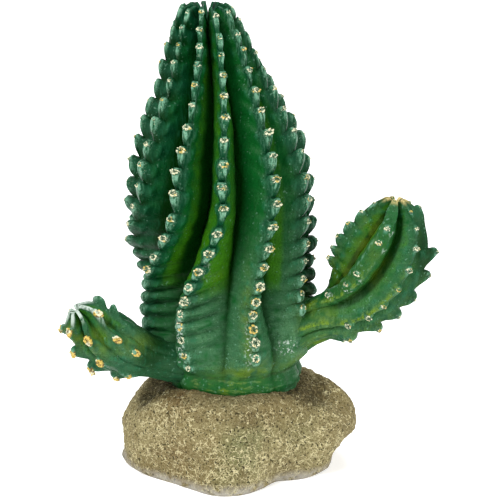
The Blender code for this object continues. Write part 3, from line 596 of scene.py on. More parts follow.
class RibbedBody:
    """A column or an arm. skin() gives the grid of its surface and what to paint on it."""

    SAMPLES = 2000
    NUDGE = 0.2  # along the crest line, to find its slope
    # The settings that are tables by height, a value for each rib, and one for each of its sides.
    BY_HEIGHT = (
        "crest", "valley", "sink", "swell", "pleat", "pitch", "broad", "tooth_size", "tooth_lift",
        "areole_along", "edged", "dark_height", "yellow_height", "lime_height",
    )
    BY_RIB = (
        "rib_teeth", "width", "rounded", "areole", "apex_reach", "yellow_edge", "notch", "crest_cool",
        "dusty_from", "dusty_to",
    )
    BY_SIDE = ("pleat_share", "dark", "yellow", "cool", "dusty", "lime", "edge")
    SPOTS = ("olive", "pale", "rust", "frost", "shade")

    def __init__(self, spine, angles, seed, **settings):
        self.spine, self.angles, self.seed = spine, angles, seed
        for key, value in (DEFAULTS | settings).items():
            setattr(self, key, value)
        self.ribs = angles(np.array([self.reach[0]])).shape[-1]
        for keys, shape in ((self.BY_RIB, self.ribs), (self.BY_SIDE, (2, self.ribs))):
            for key in keys:
                setattr(self, key, np.broadcast_to(np.asarray(getattr(self, key), float), shape))
        self.measure()
        self.draw_teeth()

    def measure(self):
        """The arc along the crest line, and the phase, a count of teeth, that it has reached."""
        crest = np.asarray(self.crest, float)
        self.arc_rows = np.column_stack([chord_lengths(crest), crest])
        self.length = self.arc_rows[-1, 0]
        self.arcs = np.linspace(0.0, self.length, self.SAMPLES)
        heights = through(self.arc_rows, self.arcs)[:, 0]
        count = np.cumsum(1 / through(self.pitch, heights))
        first, last = (count[np.argmax(heights >= end)] for end in self.reach)
        self.phases = (count - first) / (last - first) * self.teeth
        self.pitches = np.gradient(self.arcs, self.phases)

    def draw_teeth(self):
        """Every tooth's size, shift and lean, with those that are missing or big."""
        chance = np.random.default_rng(self.seed)
        each = (self.ribs, self.teeth)
        drawn = chance.uniform(-STAGGER, STAGGER, self.ribs)
        self.stagger = drawn if self.stagger is None else np.array(self.stagger)
        self.scale = chance.uniform(*TOOTH_SPREAD, each) * self.rib_teeth[:, None]
        self.jitter = chance.uniform(-JITTER, JITTER, each)
        self.sway = chance.uniform(-SWAY, SWAY, each)
        for rib, teeth in self.missing.items():
            self.scale[rib, list(teeth)] = 0.0
        for tooth, share in self.big_teeth.items():
            self.scale[tooth] *= share

    def section(self, arc, rib, side):
        """At an arc: height, crest radius, the rib's angle, and the valley's angle and radius."""
        height, radius = np.moveaxis(through(self.arc_rows, arc), -1, 0)
        angle = self.angles(height)
        own = np.take_along_axis(angle, rib[..., None], -1)[..., 0]
        other = np.take_along_axis(angle, ((rib + side) % self.ribs)[..., None], -1)[..., 0]
        gap = (other - own + 180.0) % 360.0 - 180.0
        share = np.full(height.shape, 0.5)
        left_rib = np.where(side > 0, rib, (rib - 1) % self.ribs)
        for moved, table in self.crease_shift.items():
            share = share + side * np.where(left_rib == moved, through(table, height), 0.0)
        hollow = radius * through(self.valley, height)
        return height, radius, np.radians(own), np.radians(own + gap * share), hollow

    def place_on(self, arc, rib, side, step, half, on_flank):
        """The smooth rib without its teeth."""
        height, radius, own, low, hollow = self.section(arc, rib, side)
        off = half * np.clip(step, -1.0, 1.0)
        front = (radius * np.cos(own) - off * np.sin(own)) * (1 - on_flank)
        front += hollow * np.cos(low) * on_flank
        right = (radius * np.sin(own) + off * np.cos(own)) * (1 - on_flank)
        right += hollow * np.sin(low) * on_flank
        bulge = through(self.swell, height) * radius * 4 * on_flank * (1 - on_flank)
        front += bulge * np.cos((own + low) / 2)
        right += bulge * np.sin((own + low) / 2)
        place, front_way, right_way, along = self.spine.at(height)
        sunk = through(self.sink, height) * on_flank * smooth_step(radius / SINK_RADIUS)
        place = place + front[..., None] * front_way + right[..., None] * right_way
        return place - sunk[..., None] * along

    def crest_ways(self, arc, rib):
        """Outward, tangent and sideways ways at the crest of a rib, its place and its height."""
        height, radius = np.moveaxis(through(self.arc_rows, arc), -1, 0)
        own = np.radians(np.take_along_axis(self.angles(height), rib[..., None], -1)[..., 0])
        place, front_way, right_way, along = self.spine.at(height)
        ahead = through(self.arc_rows, np.clip(arc + self.NUDGE, 0.0, self.length))
        behind = through(self.arc_rows, np.clip(arc - self.NUDGE, 0.0, self.length))
        up, out = np.moveaxis(unit(ahead - behind + [1e-9, 0.0]), -1, 0)
        outward = np.cos(own)[..., None] * front_way + np.sin(own)[..., None] * right_way
        sideways = np.cos(own)[..., None] * right_way - np.sin(own)[..., None] * front_way
        normal = up[..., None] * outward - out[..., None] * along
        tangent = out[..., None] * outward + up[..., None] * along
        return place + radius[..., None] * outward, normal, tangent, sideways, height

    def swollen(self, points, height):
        """The points moved towards the arms, where the column swells."""
        above_foot = fade(height, BOSS_FROM, BOSS_CLEAR)
        for middle, way, width, swell in self.bosses:
            push = swell * near(points, middle, width) * above_foot
            points = points + push[..., None] * np.array(way)
        return points

    def arc_of(self, phase, shift):
        return np.interp(phase + shift, self.phases, self.arcs)

    def shifts(self, phase, rib, tooth, within):
        """How far a rib's teeth stand off the even count, in teeth."""
        free = smooth_step(phase / EVEN_ENDS) * smooth_step((self.teeth - phase) / EVEN_ENDS)
        inside = (phase >= 0) & (phase <= self.teeth)
        return self.stagger[rib] * free + self.jitter[rib, tooth] * np.sin(np.pi * within) * inside

    def profile(self, within, height, rib):
        """How far along the crest a tooth has come, and how high it stands, from 0 to 1."""
        start, end = self.round_below
        rolled = np.maximum(fade(height, start, end - start), self.rounded[rib])[..., None]
        pointed, round_one = through(self.tooth_curve, within), through(ROUND_TOOTH_CURVE, within)
        return np.moveaxis(pointed * (1 - rolled) + round_one * rolled, -1, 0)

    def raised(self, points, ways, rib, tooth, rise):
        """Points lifted to the teeth that stand on them."""
        _, normal, tangent, sideways, height = ways
        up = rise * self.scale[rib, tooth] * through(self.tooth_size, height)
        points = points + up[..., None] * (normal + through(self.tooth_lift, height)[..., None] * tangent)
        return self.swollen(points + (self.sway[rib, tooth] * rise)[..., None] * sideways, height)

    def skin(self, phases):
        """Points of the whole grid, one row for each phase, and the masks for its paint."""
        g = self.grid(phases)
        self.set_out(g)
        g.points = self.place_on(g.arc, g.rib, g.side, g.step, g.half, g.on_flank)
        g.points = g.points + self.relief(g)[..., None] * grid_normals(g.points)
        ways = self.crest_ways(g.arc, g.rib)
        g.points = self.raised(g.points, ways, g.rib, g.tooth, g.rise * g.knob)
        return g.points, self.masks(g)

    def grid(self, phases):
        """Where each point is: its rib and side, how far from the crest, its tooth and phase."""
        outer = np.array(COLUMNS_ON_CREST[1:] + COLUMNS_ON_SIDE)
        steps = np.concatenate([[-2.0], -outer[::-1], [0.0], outer])
        rib, step = np.meshgrid(np.arange(self.ribs), steps, indexing="ij")
        g = SimpleNamespace(shape=(len(phases), rib.size))
        g.rib, g.step = (np.broadcast_to(values.ravel(), g.shape) for values in (rib, step))
        g.phase = np.broadcast_to(np.asarray(phases)[:, None], g.shape)
        g.across = np.abs(g.step)
        g.on_flank = np.clip(g.across - 1, 0.0, 1.0)
        g.side = np.where(g.step < 0, -1, 1)
        g.tooth = np.clip(np.floor(g.phase), 0, self.teeth - 1).astype(int)
        g.within = np.clip(g.phase - g.tooth, 0.0, 1.0)
        g.inside = (g.phase >= 0) & (g.phase <= self.teeth)
        g.size = self.scale[g.rib, g.tooth]
        return g

    def set_out(self, g):
        """Adds how wide the crest is, how much of a tooth is felt, and each point's arc."""
        shift = self.shifts(g.phase, g.rib, g.tooth, g.within) * (1 - g.on_flank)
        plain_arc = self.arc_of(g.phase, shift)
        height, radius, own, low, hollow = self.section(plain_arc, g.rib, g.side)
        along_share, rise = self.profile(g.within, height, g.rib)
        g.rise = np.where(g.inside, rise, 0.0)
        half_gap = np.abs((low - own + np.pi) % (2 * np.pi) - np.pi)
        widened = smooth_step(g.within / WIDE_AT)
        broad, width = through(self.broad, height), self.width[g.rib]
        narrow, wide = CREST_HALF_WIDTH
        g.half = (narrow * width + (wide - narrow) * widened * g.rise / width) * broad
        g.half = np.minimum(g.half, MOST_CREST_SHARE * radius * 2 * half_gap)
        g.from_middle = g.half * np.minimum(g.across, 1.0)
        g.from_middle = g.from_middle + np.hypot(radius - hollow, radius * half_gap) * g.on_flank
        foot, tip = self.knob_half
        knob_half = foot + (tip - foot) * widened
        g.knob = 1 - smooth_step((g.from_middle / broad - knob_half) / self.knob_side)
        pitch = np.interp(g.phase, self.phases, self.pitches)
        ahead = (along_share - g.within) * g.knob * g.inside * g.size
        g.arc = np.clip(plain_arc + ahead * pitch, 0.0, self.length)
        g.height = through(self.arc_rows, g.arc)[..., 0]

    def relief(self, g):
        """How far the shoulders, the folds and the cast's unevenness move each point out."""
        roll = np.abs(np.sin(np.pi * g.within))
        started = smooth_step(g.phase) * smooth_step(self.teeth - g.phase)
        fold = through(self.pleat, g.height) * sided(self.pleat_share, g) * (1 - roll) * started
        fold = fold * smooth_step(g.on_flank / FOLD_START) * smooth_step((1 - g.on_flank) / FOLD_END)
        hump = np.sin(np.pi * np.clip((g.within - SHOULDER_FROM) / (1 - SHOULDER_FROM), 0, 1))
        beside = bell(g.from_middle - SHOULDER_AT, SHOULDER_WIDTH)
        g.shoulder = beside * smooth_step(hump * SHOULDER_GAIN - SHOULDER_CUT)
        shoulder = SHOULDER_RISE * g.size * through(self.tooth_size, g.height) * g.shoulder * g.inside
        uneven = waves(g.points, SKIN_WAVES, self.seed) * smooth_step((self.length - g.arc) / SMOOTH_END)
        wrinkles = waves(g.points / np.array(WRINKLE_LENGTHS), ((1.0, self.wrinkled),), self.seed + 1)
        low_down = fade(g.height, WRINKLED_BELOW, -WRINKLE_FADE)
        wrinkles = wrinkles * low_down * smooth_step(g.on_flank / SMOOTH_CREST)
        return uneven + wrinkles + shoulder - fold

    def masks(self, g):
        """How much of each paint every point takes."""
        reach = sided(self.dark, g)
        crest_cool = self.crest_cool[g.rib] * (1 - smooth_step(g.on_flank / CREST_REACH))
        dusty_from, dusty_to = self.dusty_from[g.rib], self.dusty_to[g.rib]
        low = fade(g.height, dusty_from, dusty_to - dusty_from)
        # A dark wash from the valley up, partly painted shade.
        dark = fade(g.on_flank, 1 - reach, DARK_FADE * reach)
        # Dark between the teeth: partly a dark wash, partly painted shade.
        notch = self.notch[g.rib] * np.sqrt(np.maximum(1 - g.rise, 0.0)) * g.inside
        yellow = fade(g.on_flank, self.yellow_edge[g.rib], YELLOW_FADE)
        lime = sided(self.lime, g) * through(self.lime_height, g.height)
        end = smooth_step(APEX_FADE - (self.length - g.arc) / self.apex_reach[g.rib])
        real = g.inside * (g.size > 0)
        masks = {
            "dark": dark * through(self.dark_height, g.height),
            "notch": notch * bell(g.from_middle, NOTCH_REACH),
            # The crease: a dark line of painted shade along the valleys.
            "crease": self.crease * fade(g.on_flank, CREASE_FROM, 1 - CREASE_FROM),
            "lime": lime * bell(g.from_middle - g.half, LIME_REACH),
            "yellow": sided(self.yellow, g) * through(self.yellow_height, g.height) * yellow,
            "dusty": sided(self.dusty, g) * low,
            # The knobs take pale paint that is partly a painted highlight.
            "knob": g.rise * g.knob * real,
            "neck": g.knob * fade(g.within, NECK_PAINT_FROM, PAINT_OVER) * real,
            # The shoulders take a painted highlight.
            "shoulder": g.shoulder * fade(g.within, SHOULDER_PAINT_FROM, PAINT_OVER) * real,
            "edge": bell(g.across - 1.0, EDGE_REACH) * (1 - g.knob * g.rise),
            "edged": through(self.edged, g.height) * sided(self.edge, g),
            "cool": np.maximum(sided(self.cool, g), crest_cool),
            "apex": end * (1 - smooth_step(g.on_flank / self.apex_width)),
            "foot": g.height if self.has_foot else np.full(g.shape, 200.0),
        }
        for mask in self.SPOTS:
            masks[mask] = spots(g.points, self.spots.get(mask, ()))
        return masks

    def tips(self):
        """Place, ways and height of every tooth's tip, and its areole's share."""
        rib, tooth = np.meshgrid(np.arange(self.ribs), np.arange(self.teeth), indexing="ij")
        rib, tooth = rib.ravel(), tooth.ravel()
        real = self.scale[rib, tooth] > 0
        for bare, teeth in self.bare.items():
            real &= (rib != bare) | ~np.isin(tooth, teeth)
        rib, tooth = rib[real], tooth[real]
        phase = tooth + TIP_AT
        arc = self.arc_of(phase, self.shifts(phase, rib, tooth, TIP_AT))
        height = through(self.arc_rows, arc)[:, 0]
        along_share, rise = self.profile(np.full(len(rib), TIP_AT), height, rib)
        pitch = np.interp(phase, self.phases, self.pitches)
        arc = arc + (along_share - TIP_AT) * self.scale[rib, tooth] * pitch
        ways = self.crest_ways(np.clip(arc, 0.0, self.length), rib)
        place, normal, tangent, sideways, height = ways
        place = self.raised(place, ways, rib, tooth, rise)
        return place, normal, tangent, sideways, height, self.areole[rib]


def sided(rows, g):
    """What a row for the left sides and one for the right say of each point's rib and side."""
    return rows[(g.side > 0).astype(int), g.rib]


def column_angles(height):
    """The direction that each rib faces at a height, in degrees from the front to the right."""
    ribs = np.arange(COLUMN_RIBS)
    regular = FRONT_RIB_ANGLE + (ribs - FRONT_RIB) * 360.0 / COLUMN_RIBS + np.array(RIB_SHIFT)
    start, end = np.array(DRIFT_FROM), np.array(DRIFT_TO)
    drifted = fade(height[..., None], start, end - start)
    return regular + through(CROWN_TWIST, height)[..., None] + drifted * np.array(RIB_DRIFT)


def arm_angles(turn, shifts):
    """The same for an arm, from its first rib's direction at each distance."""
    spread = np.arange(ARM_RIBS) * 360.0 / ARM_RIBS
    return lambda distance: through(turn, distance)[..., None] + spread + through(shifts, distance)


def arm_body(points, seam, turn, rib_shift, seed, **settings):
    """A body along a bent spine, with its tables' shares of the length as distances."""
    spine = BentSpine(points, seam)

    def by_distance(rows):
        return [(share * spine.length, *rest) for share, *rest in rows]

    settings = DEFAULTS | ARM | settings
    for key in RibbedBody.BY_HEIGHT:
        settings[key] = by_distance(settings[key])
    creases = settings["crease_shift"].items()
    settings["crease_shift"] = {rib: by_distance(rows) for rib, rows in creases}
    settings["reach"] = [share * spine.length for share in settings["reach"]]
    return RibbedBody(spine, arm_angles(by_distance(turn), by_distance(rib_shift)), seed, **settings)


def phases_of(body):
    """Row phases from the foot of a body to its end: fine over the teeth, plain beyond them."""
    below = np.linspace(body.phases[0], 0.0, PLAIN_ROWS, endpoint=False)
    toothed = np.arange(body.teeth * ROWS_PER_TOOTH) / ROWS_PER_TOOTH
    above = np.linspace(body.teeth, body.phases[-1], PLAIN_ROWS)
    return np.concatenate([below, toothed, above])


# ---- Meshes ----


def add_object(name, data):
    made = bpy.data.objects.new(name, data)
    bpy.context.scene.collection.objects.link(made)
    return made


def add_mesh(name, points, faces, masks, material):
    mesh = bpy.data.meshes.new(name)
    mesh.from_pydata((np.asarray(points) * MM).tolist(), [], faces)
    for mask, values in masks.items():
        layer = mesh.attributes.new(mask, "FLOAT", "POINT")
        layer.data.foreach_set("value", np.asarray(values, np.float32))
    mesh.materials.append(material)
    mesh.shade_smooth()
    mesh.update()
    return add_object(name, mesh)


def grid_faces(rows, columns, start=0):
    """Quads of a grid that closes round its columns."""
    row, column = np.meshgrid(np.arange(rows - 1), np.arange(columns), indexing="ij")
    here, beside = row * columns + column, row * columns + (column + 1) % columns
    quads = np.stack([here, beside, beside + columns, here + columns], axis=-1)
    return (quads.reshape(-1, 4) + start).tolist()


def closed_grid(points, masks):
    """A grid, with a fan of triangles over each end, as flat points, faces and masks."""
    rows, columns = points.shape[:2]
    faces = grid_faces(rows, columns)
    flat = points.reshape(-1, 3)
    low, high = len(flat), len(flat) + 1
    last = (rows - 1) * columns
    for column in range(columns):
        beside = (column + 1) % columns
        faces.append((low, beside, column))
        faces.append((high, last + column, last + beside))
    flat = np.concatenate([flat, [points[0].mean(axis=0)], [points[-1].mean(axis=0)]])
    flat_masks = {}
    for mask, values in masks.items():
        flat_masks[mask] = np.concatenate([values.ravel(), [values[0, 0], values[-1, 0]]])
    return flat, faces, flat_masks


def ribbed_piece(name, body, material):
    points, masks = body.skin(phases_of(body))
    flat, faces, flat_masks = closed_grid(points, masks)
    piece = add_mesh(name, flat, faces, flat_masks, material)
    columns = points.shape[1] // body.ribs
    ends = np.empty(len(piece.data.edges) * 2, np.int32)
    piece.data.edges.foreach_get("vertices", ends)
    creased = (ends.reshape(-1, 2) % columns == 0).all(axis=1)
    layer = piece.data.attributes.new("sharp_edge", "BOOLEAN", "EDGE")
    layer.data.foreach_set("value", creased)
    return piece


# ---- The areoles ----


def rosette(body, chance, place, normal, tangent, sideways, height, share):
    """Points and tones of one areole: a ragged ring of bumps round a low middle."""
    around = np.arange(AREOLE_AROUND) / AREOLE_AROUND * 2 * np.pi
    by_tooth = np.clip(AREOLE_LEAST + BY_TOOTH * through(body.tooth_size, height), *AREOLE_SIZES)
    scale = chance.uniform(*AREOLE_SPREAD) * by_tooth * share
    bumps, turn = chance.integers(*AREOLE_BUMPS), chance.uniform(0, 2 * np.pi)
    lobe = np.floor((around + turn) / (2 * np.pi) * bumps).astype(int) % bumps
    strength = chance.uniform(*BUMP_SPREAD, bumps)[lobe]
    bump = np.abs(np.sin((around + turn) * bumps / 2)) * strength
    out_way = unit(normal + AREOLE_TILT * tangent)
    up_way = unit(tangent - out_way * (tangent @ out_way))
    round_way = np.cos(around)[:, None] * sideways * body.areole_across
    round_way = round_way + np.sin(around)[:, None] * up_way * through(body.areole_along, height)
    points, tones = [[place + out_way * AREOLE_LIFT * scale]], [[chance.uniform(0.0, 0.7)]]
    for ring in (np.arange(AREOLE_RINGS) + 1) / AREOLE_RINGS:
        wall = bell(ring - WALL_AT, WALL_WIDTH)
        rim = fade(ring, RIM_AT, 1 - RIM_AT)
        grain = chance.uniform(0.0, 0.8, AREOLE_AROUND) * (1 - rim)
        lift = AREOLE_HEIGHT * (wall * (0.2 + 0.8 * bump) + 0.22 * grain - 1.3 * rim)
        reach = ring * (1 + 0.2 * (bump - 0.5) * wall)
        points.append(place + (round_way * reach[:, None] + out_way * lift[:, None]) * scale)
        tone = np.maximum(wall * (0.3 + 0.7 * np.minimum(bump, 1.0)), 0.75 * grain)
        tones.append(tone + body.areole_fill)
    return np.concatenate(points), np.concatenate(tones)


def areole_piece(name, body, material, seed):
    """An areole on the tip of every tooth, joined into one mesh."""
    chance = np.random.default_rng(seed)
    made = [rosette(body, chance, *tip) for tip in zip(*body.tips())]
    faces = []
    for number in range(len(made)):
        middle = number * (1 + AREOLE_RINGS * AREOLE_AROUND)
        for j in range(AREOLE_AROUND):
            faces.append((middle, middle + 1 + j, middle + 1 + (j + 1) % AREOLE_AROUND))
        faces += grid_faces(AREOLE_RINGS, AREOLE_AROUND, middle + 1)
    points, tones = (np.concatenate(parts) for parts in zip(*made))
    return add_mesh(name, points, faces, {"tone": tones}, material)


# ---- The stone ----


def stone_rings():
    """The smooth stone: rings from below it, up its side and in over its ledge."""
    angles = np.linspace(-180.0, 180.0, STONE_AROUND, endpoint=False)
    ways = np.stack([np.sin(np.radians(angles)), -np.cos(np.radians(angles)), 0 * angles], -1)
    rows = np.column_stack([np.linspace(0.0, 1.0, len(STONE_SIDE)), STONE_SIDE])
    up = through(rows, np.linspace(0.0, 1.0, STONE_UP))
    height, to_belly, to_ledge = np.moveaxis(up, -1, 0)[..., None]
    floor, belly = through(STONE_FLOOR, angles), through(STONE_BELLY, angles)
    reach = floor + (belly - floor) * to_belly
    reach += (STONE_LEDGE - reach) * to_ledge
    rings = reach[..., None] * ways
    behind = smooth_step(rings[..., 1] / STONE_LEDGE) * fade(height, DROP_FROM, DROP_OVER)
    rings[..., 2] = height - STONE_BACK_DROP * behind
    under = [share * floor[:, None] * ways for share in STONE_UNDER_SHARES]
    top = []
    for share in STONE_TOP_SHARES:
        ring = share * STONE_LEDGE * ways
        ring[:, 2] = rings[-1, :, 2] + STONE_TOP_RISE * (1 - share) / (1 - STONE_TOP_SHARES[-1])
        top.append(ring)
    return np.concatenate([under, rings, top])


def stone_piece(name, material):
    points = stone_rings()
    normals = grid_normals(points)
    lumps = waves(points, STONE_WAVES, 3)
    for middle, spread, rise in STONE_LUMPS:
        lumps = lumps + rise * near(points, middle, spread)
    cells = np.array([noise.voronoi(Vector(p / PIT_SPACING))[0][0] for p in points.reshape(-1, 3)])
    pit = 1 - smooth_step(cells.reshape(lumps.shape) / PIT_REACH)
    off_floor = fade(points[..., 2], FLAT_BELOW, ROUGH_OVER)
    points = points + ((lumps - PIT_DEPTH * pit) * off_floor)[..., None] * normals
    masks = {"pit": pit, "high": points[..., 2]}
    for mask, rows in STONE_SPOTS.items():
        masks[mask] = spots(points, rows)
    flat, faces, flat_masks = closed_grid(points, masks)
    return add_mesh(name, flat, faces, flat_masks, material)


# ---- Materials ----


class Nodes:
    """A short way to write a painted material: coats of paint, one over the other."""

    def __init__(self, name):
        self.material = bpy.data.materials.new(name)
        self.material.use_nodes = True
        self.tree = self.material.node_tree
        self.shader = self.tree.nodes["Principled BSDF"]
        self.place = self.make("ShaderNodeTexCoord", "Object")
        self.base = None

    def fill(self, node, inputs):
        """Sets a node's inputs to values, or links them to outputs."""
        for name, source in inputs.items():
            if isinstance(source, (int, float, tuple)):
                node.inputs[name].default_value = source
            else:
                self.tree.links.new(source, node.inputs[name])

    def make(self, kind, output, inputs=None, **settings):
        """The output of a new node."""
        node = self.tree.nodes.new(kind)
        for key, value in settings.items():
            setattr(node, key, value)
        self.fill(node, inputs or {})
        return node.outputs[output]

    def attribute(self, name):
        return self.make("ShaderNodeAttribute", "Fac", attribute_name=name)

    def scaled(self, per_mm, stretch=(1.0, 1.0, 1.0)):
        scale = tuple(per_mm / MM * share for share in stretch)
        return self.make("ShaderNodeMapping", "Vector", {"Scale": scale, "Vector": self.place})

    def noise(self, per_mm, detail=2.0, stretch=(1.0, 1.0, 1.0), rough=0.5):
        """Noise whose grain is about 1/per_mm millimetres, from 0 to 1."""
        inputs = {"Vector": self.scaled(per_mm, stretch), "Scale": 1.0}
        inputs |= {"Detail": detail, "Roughness": rough}
        return self.make("ShaderNodeTexNoise", "Fac", inputs)

    def cracks(self, per_mm, swirl_scale=1.6, sway=0.9):
        """How far the nearest edge of ragged cells is, as a share of a cell."""
        scaled = self.scaled(per_mm)
        swirl = self.make("ShaderNodeTexNoise", "Color", {"Vector": scaled, "Scale": swirl_scale})
        inputs = {0: swirl, 1: (sway, sway, sway), 2: scaled}
        bent = self.make("ShaderNodeVectorMath", "Vector", inputs, operation="MULTIPLY_ADD")
        inputs = {"Vector": bent, "Scale": 1.0}
        return self.make("ShaderNodeTexVoronoi", "Distance", inputs, feature="DISTANCE_TO_EDGE")

    def ramp(self, value, low, high):
        """0 below low, 1 above high, smooth between. low may be above high."""
        rising = float(low < high)
        inputs = {"Value": value, "From Min": min(low, high), "From Max": max(low, high)}
        inputs |= {"To Min": 1 - rising, "To Max": rising}
        return self.make("ShaderNodeMapRange", "Result", inputs, interpolation_type="SMOOTHSTEP")

    def math(self, operation, a, b):
        return self.make("ShaderNodeMath", "Value", {0: a, 1: b}, operation=operation)

    def times(self, *values):
        made = values[0]
        for value in values[1:]:
            made = self.math("MULTIPLY", made, value)
        return made

    def roughened(self, mask, noise, share):
        """A mask with ragged borders."""
        return self.math("ADD", mask, self.math("MULTIPLY", self.math("SUBTRACT", noise, 0.5), share))

    def mix(self, share, a, b):
        inputs = {"Factor": share, "A": a, "B": b}
        return self.make("ShaderNodeMix", "Result", inputs, data_type="RGBA")

    def coat(self, colour, *shares):
        """Lays a colour over the paint below, by the product of the shares."""
        self.base = self.mix(self.times(*shares), self.base, colour)

    def bump(self, height, distance_mm, strength):
        inputs = {"Height": height, "Distance": distance_mm * MM, "Strength": strength}
        self.fill(self.shader, {"Normal": self.make("ShaderNodeBump", "Normal", inputs)})

    def finished(self, roughness, specular=0.5):
        """The material with its coats of paint laid on."""
        inputs = {"Base Color": self.base, "Roughness": roughness, "Specular IOR Level": specular}
        self.fill(self.shader, inputs)
        return self.material


DEEP_GREEN = (0.0018, 0.068, 0.010, 1.0)
TEAL_GREEN = (0.0018, 0.046, 0.017, 1.0)
# Near black: dark washes and grime, and painted shade in the valleys, creases and notches.
NEAR_BLACK = (0.0003, 0.022, 0.0006, 1.0)
NECK_TEAL = (0.014, 0.112, 0.050, 1.0)
PALE_TEAL = (0.14, 0.30, 0.20, 1.0)
DUSTY_GREEN = (0.028, 0.100, 0.042, 1.0)
# Pale dusty paint, and also a painted highlight in the pale spots and on the foot's rim.
PALE_DUST_AND_HIGHLIGHT = (0.075, 0.19, 0.085, 1.0)
YELLOW_GREEN = (0.030, 0.135, 0.003, 1.0)
OLIVE = (0.11, 0.18, 0.009, 1.0)
LIME = (0.13, 0.22, 0.012, 1.0)
RUST = (0.16, 0.07, 0.004, 1.0)
EARTH = (0.09, 0.045, 0.004, 1.0)
CREAM = (0.62, 0.60, 0.40, 1.0)
OCHRE = (0.52, 0.37, 0.07, 1.0)
UNDER_GREEN = (0.006, 0.055, 0.016, 1.0)
FROST = (0.42, 0.50, 0.44, 1.0)
SANDY = (0.50, 0.40, 0.16, 1.0)

SAND = (0.215, 0.172, 0.074, 1.0)
PALE_SAND = (0.28, 0.238, 0.112, 1.0)
MOSSY_SAND = (0.13, 0.15, 0.06, 1.0)
BROWN_SAND = (0.10, 0.068, 0.024, 1.0)
SHADE_BROWN = (0.036, 0.027, 0.009, 1.0)
STAIN_BROWN = (0.16, 0.085, 0.024, 1.0)
WORM_CREAM = (0.60, 0.54, 0.31, 1.0)
PIT_BROWN = (0.028, 0.022, 0.008, 1.0)
WORN_GREY = (0.42, 0.40, 0.36, 1.0)

# Lines painted round the column's foot: height and colour. The dark ones are painted shadow in the
# grooves under its lips, and the pale one is a painted highlight on its rim.
FOOT_LINES = ((34.9, NEAR_BLACK), (33.5, PALE_DUST_AND_HIGHLIGHT), (41.6, NEAR_BLACK))
STREAKS_BELOW = (44, 40)  # dark streaks fade in between these heights
# Pale squiggles on the stone: how many to a millimetre, their width and their cover.
STONE_WORMS = ((0.4, 0.05, 0.56), (0.58, 0.052, 0.58))
LEDGE_SHADE, WORN_RIM = (29, 35), (5.5, 0.5)  # the heights between which they fade in


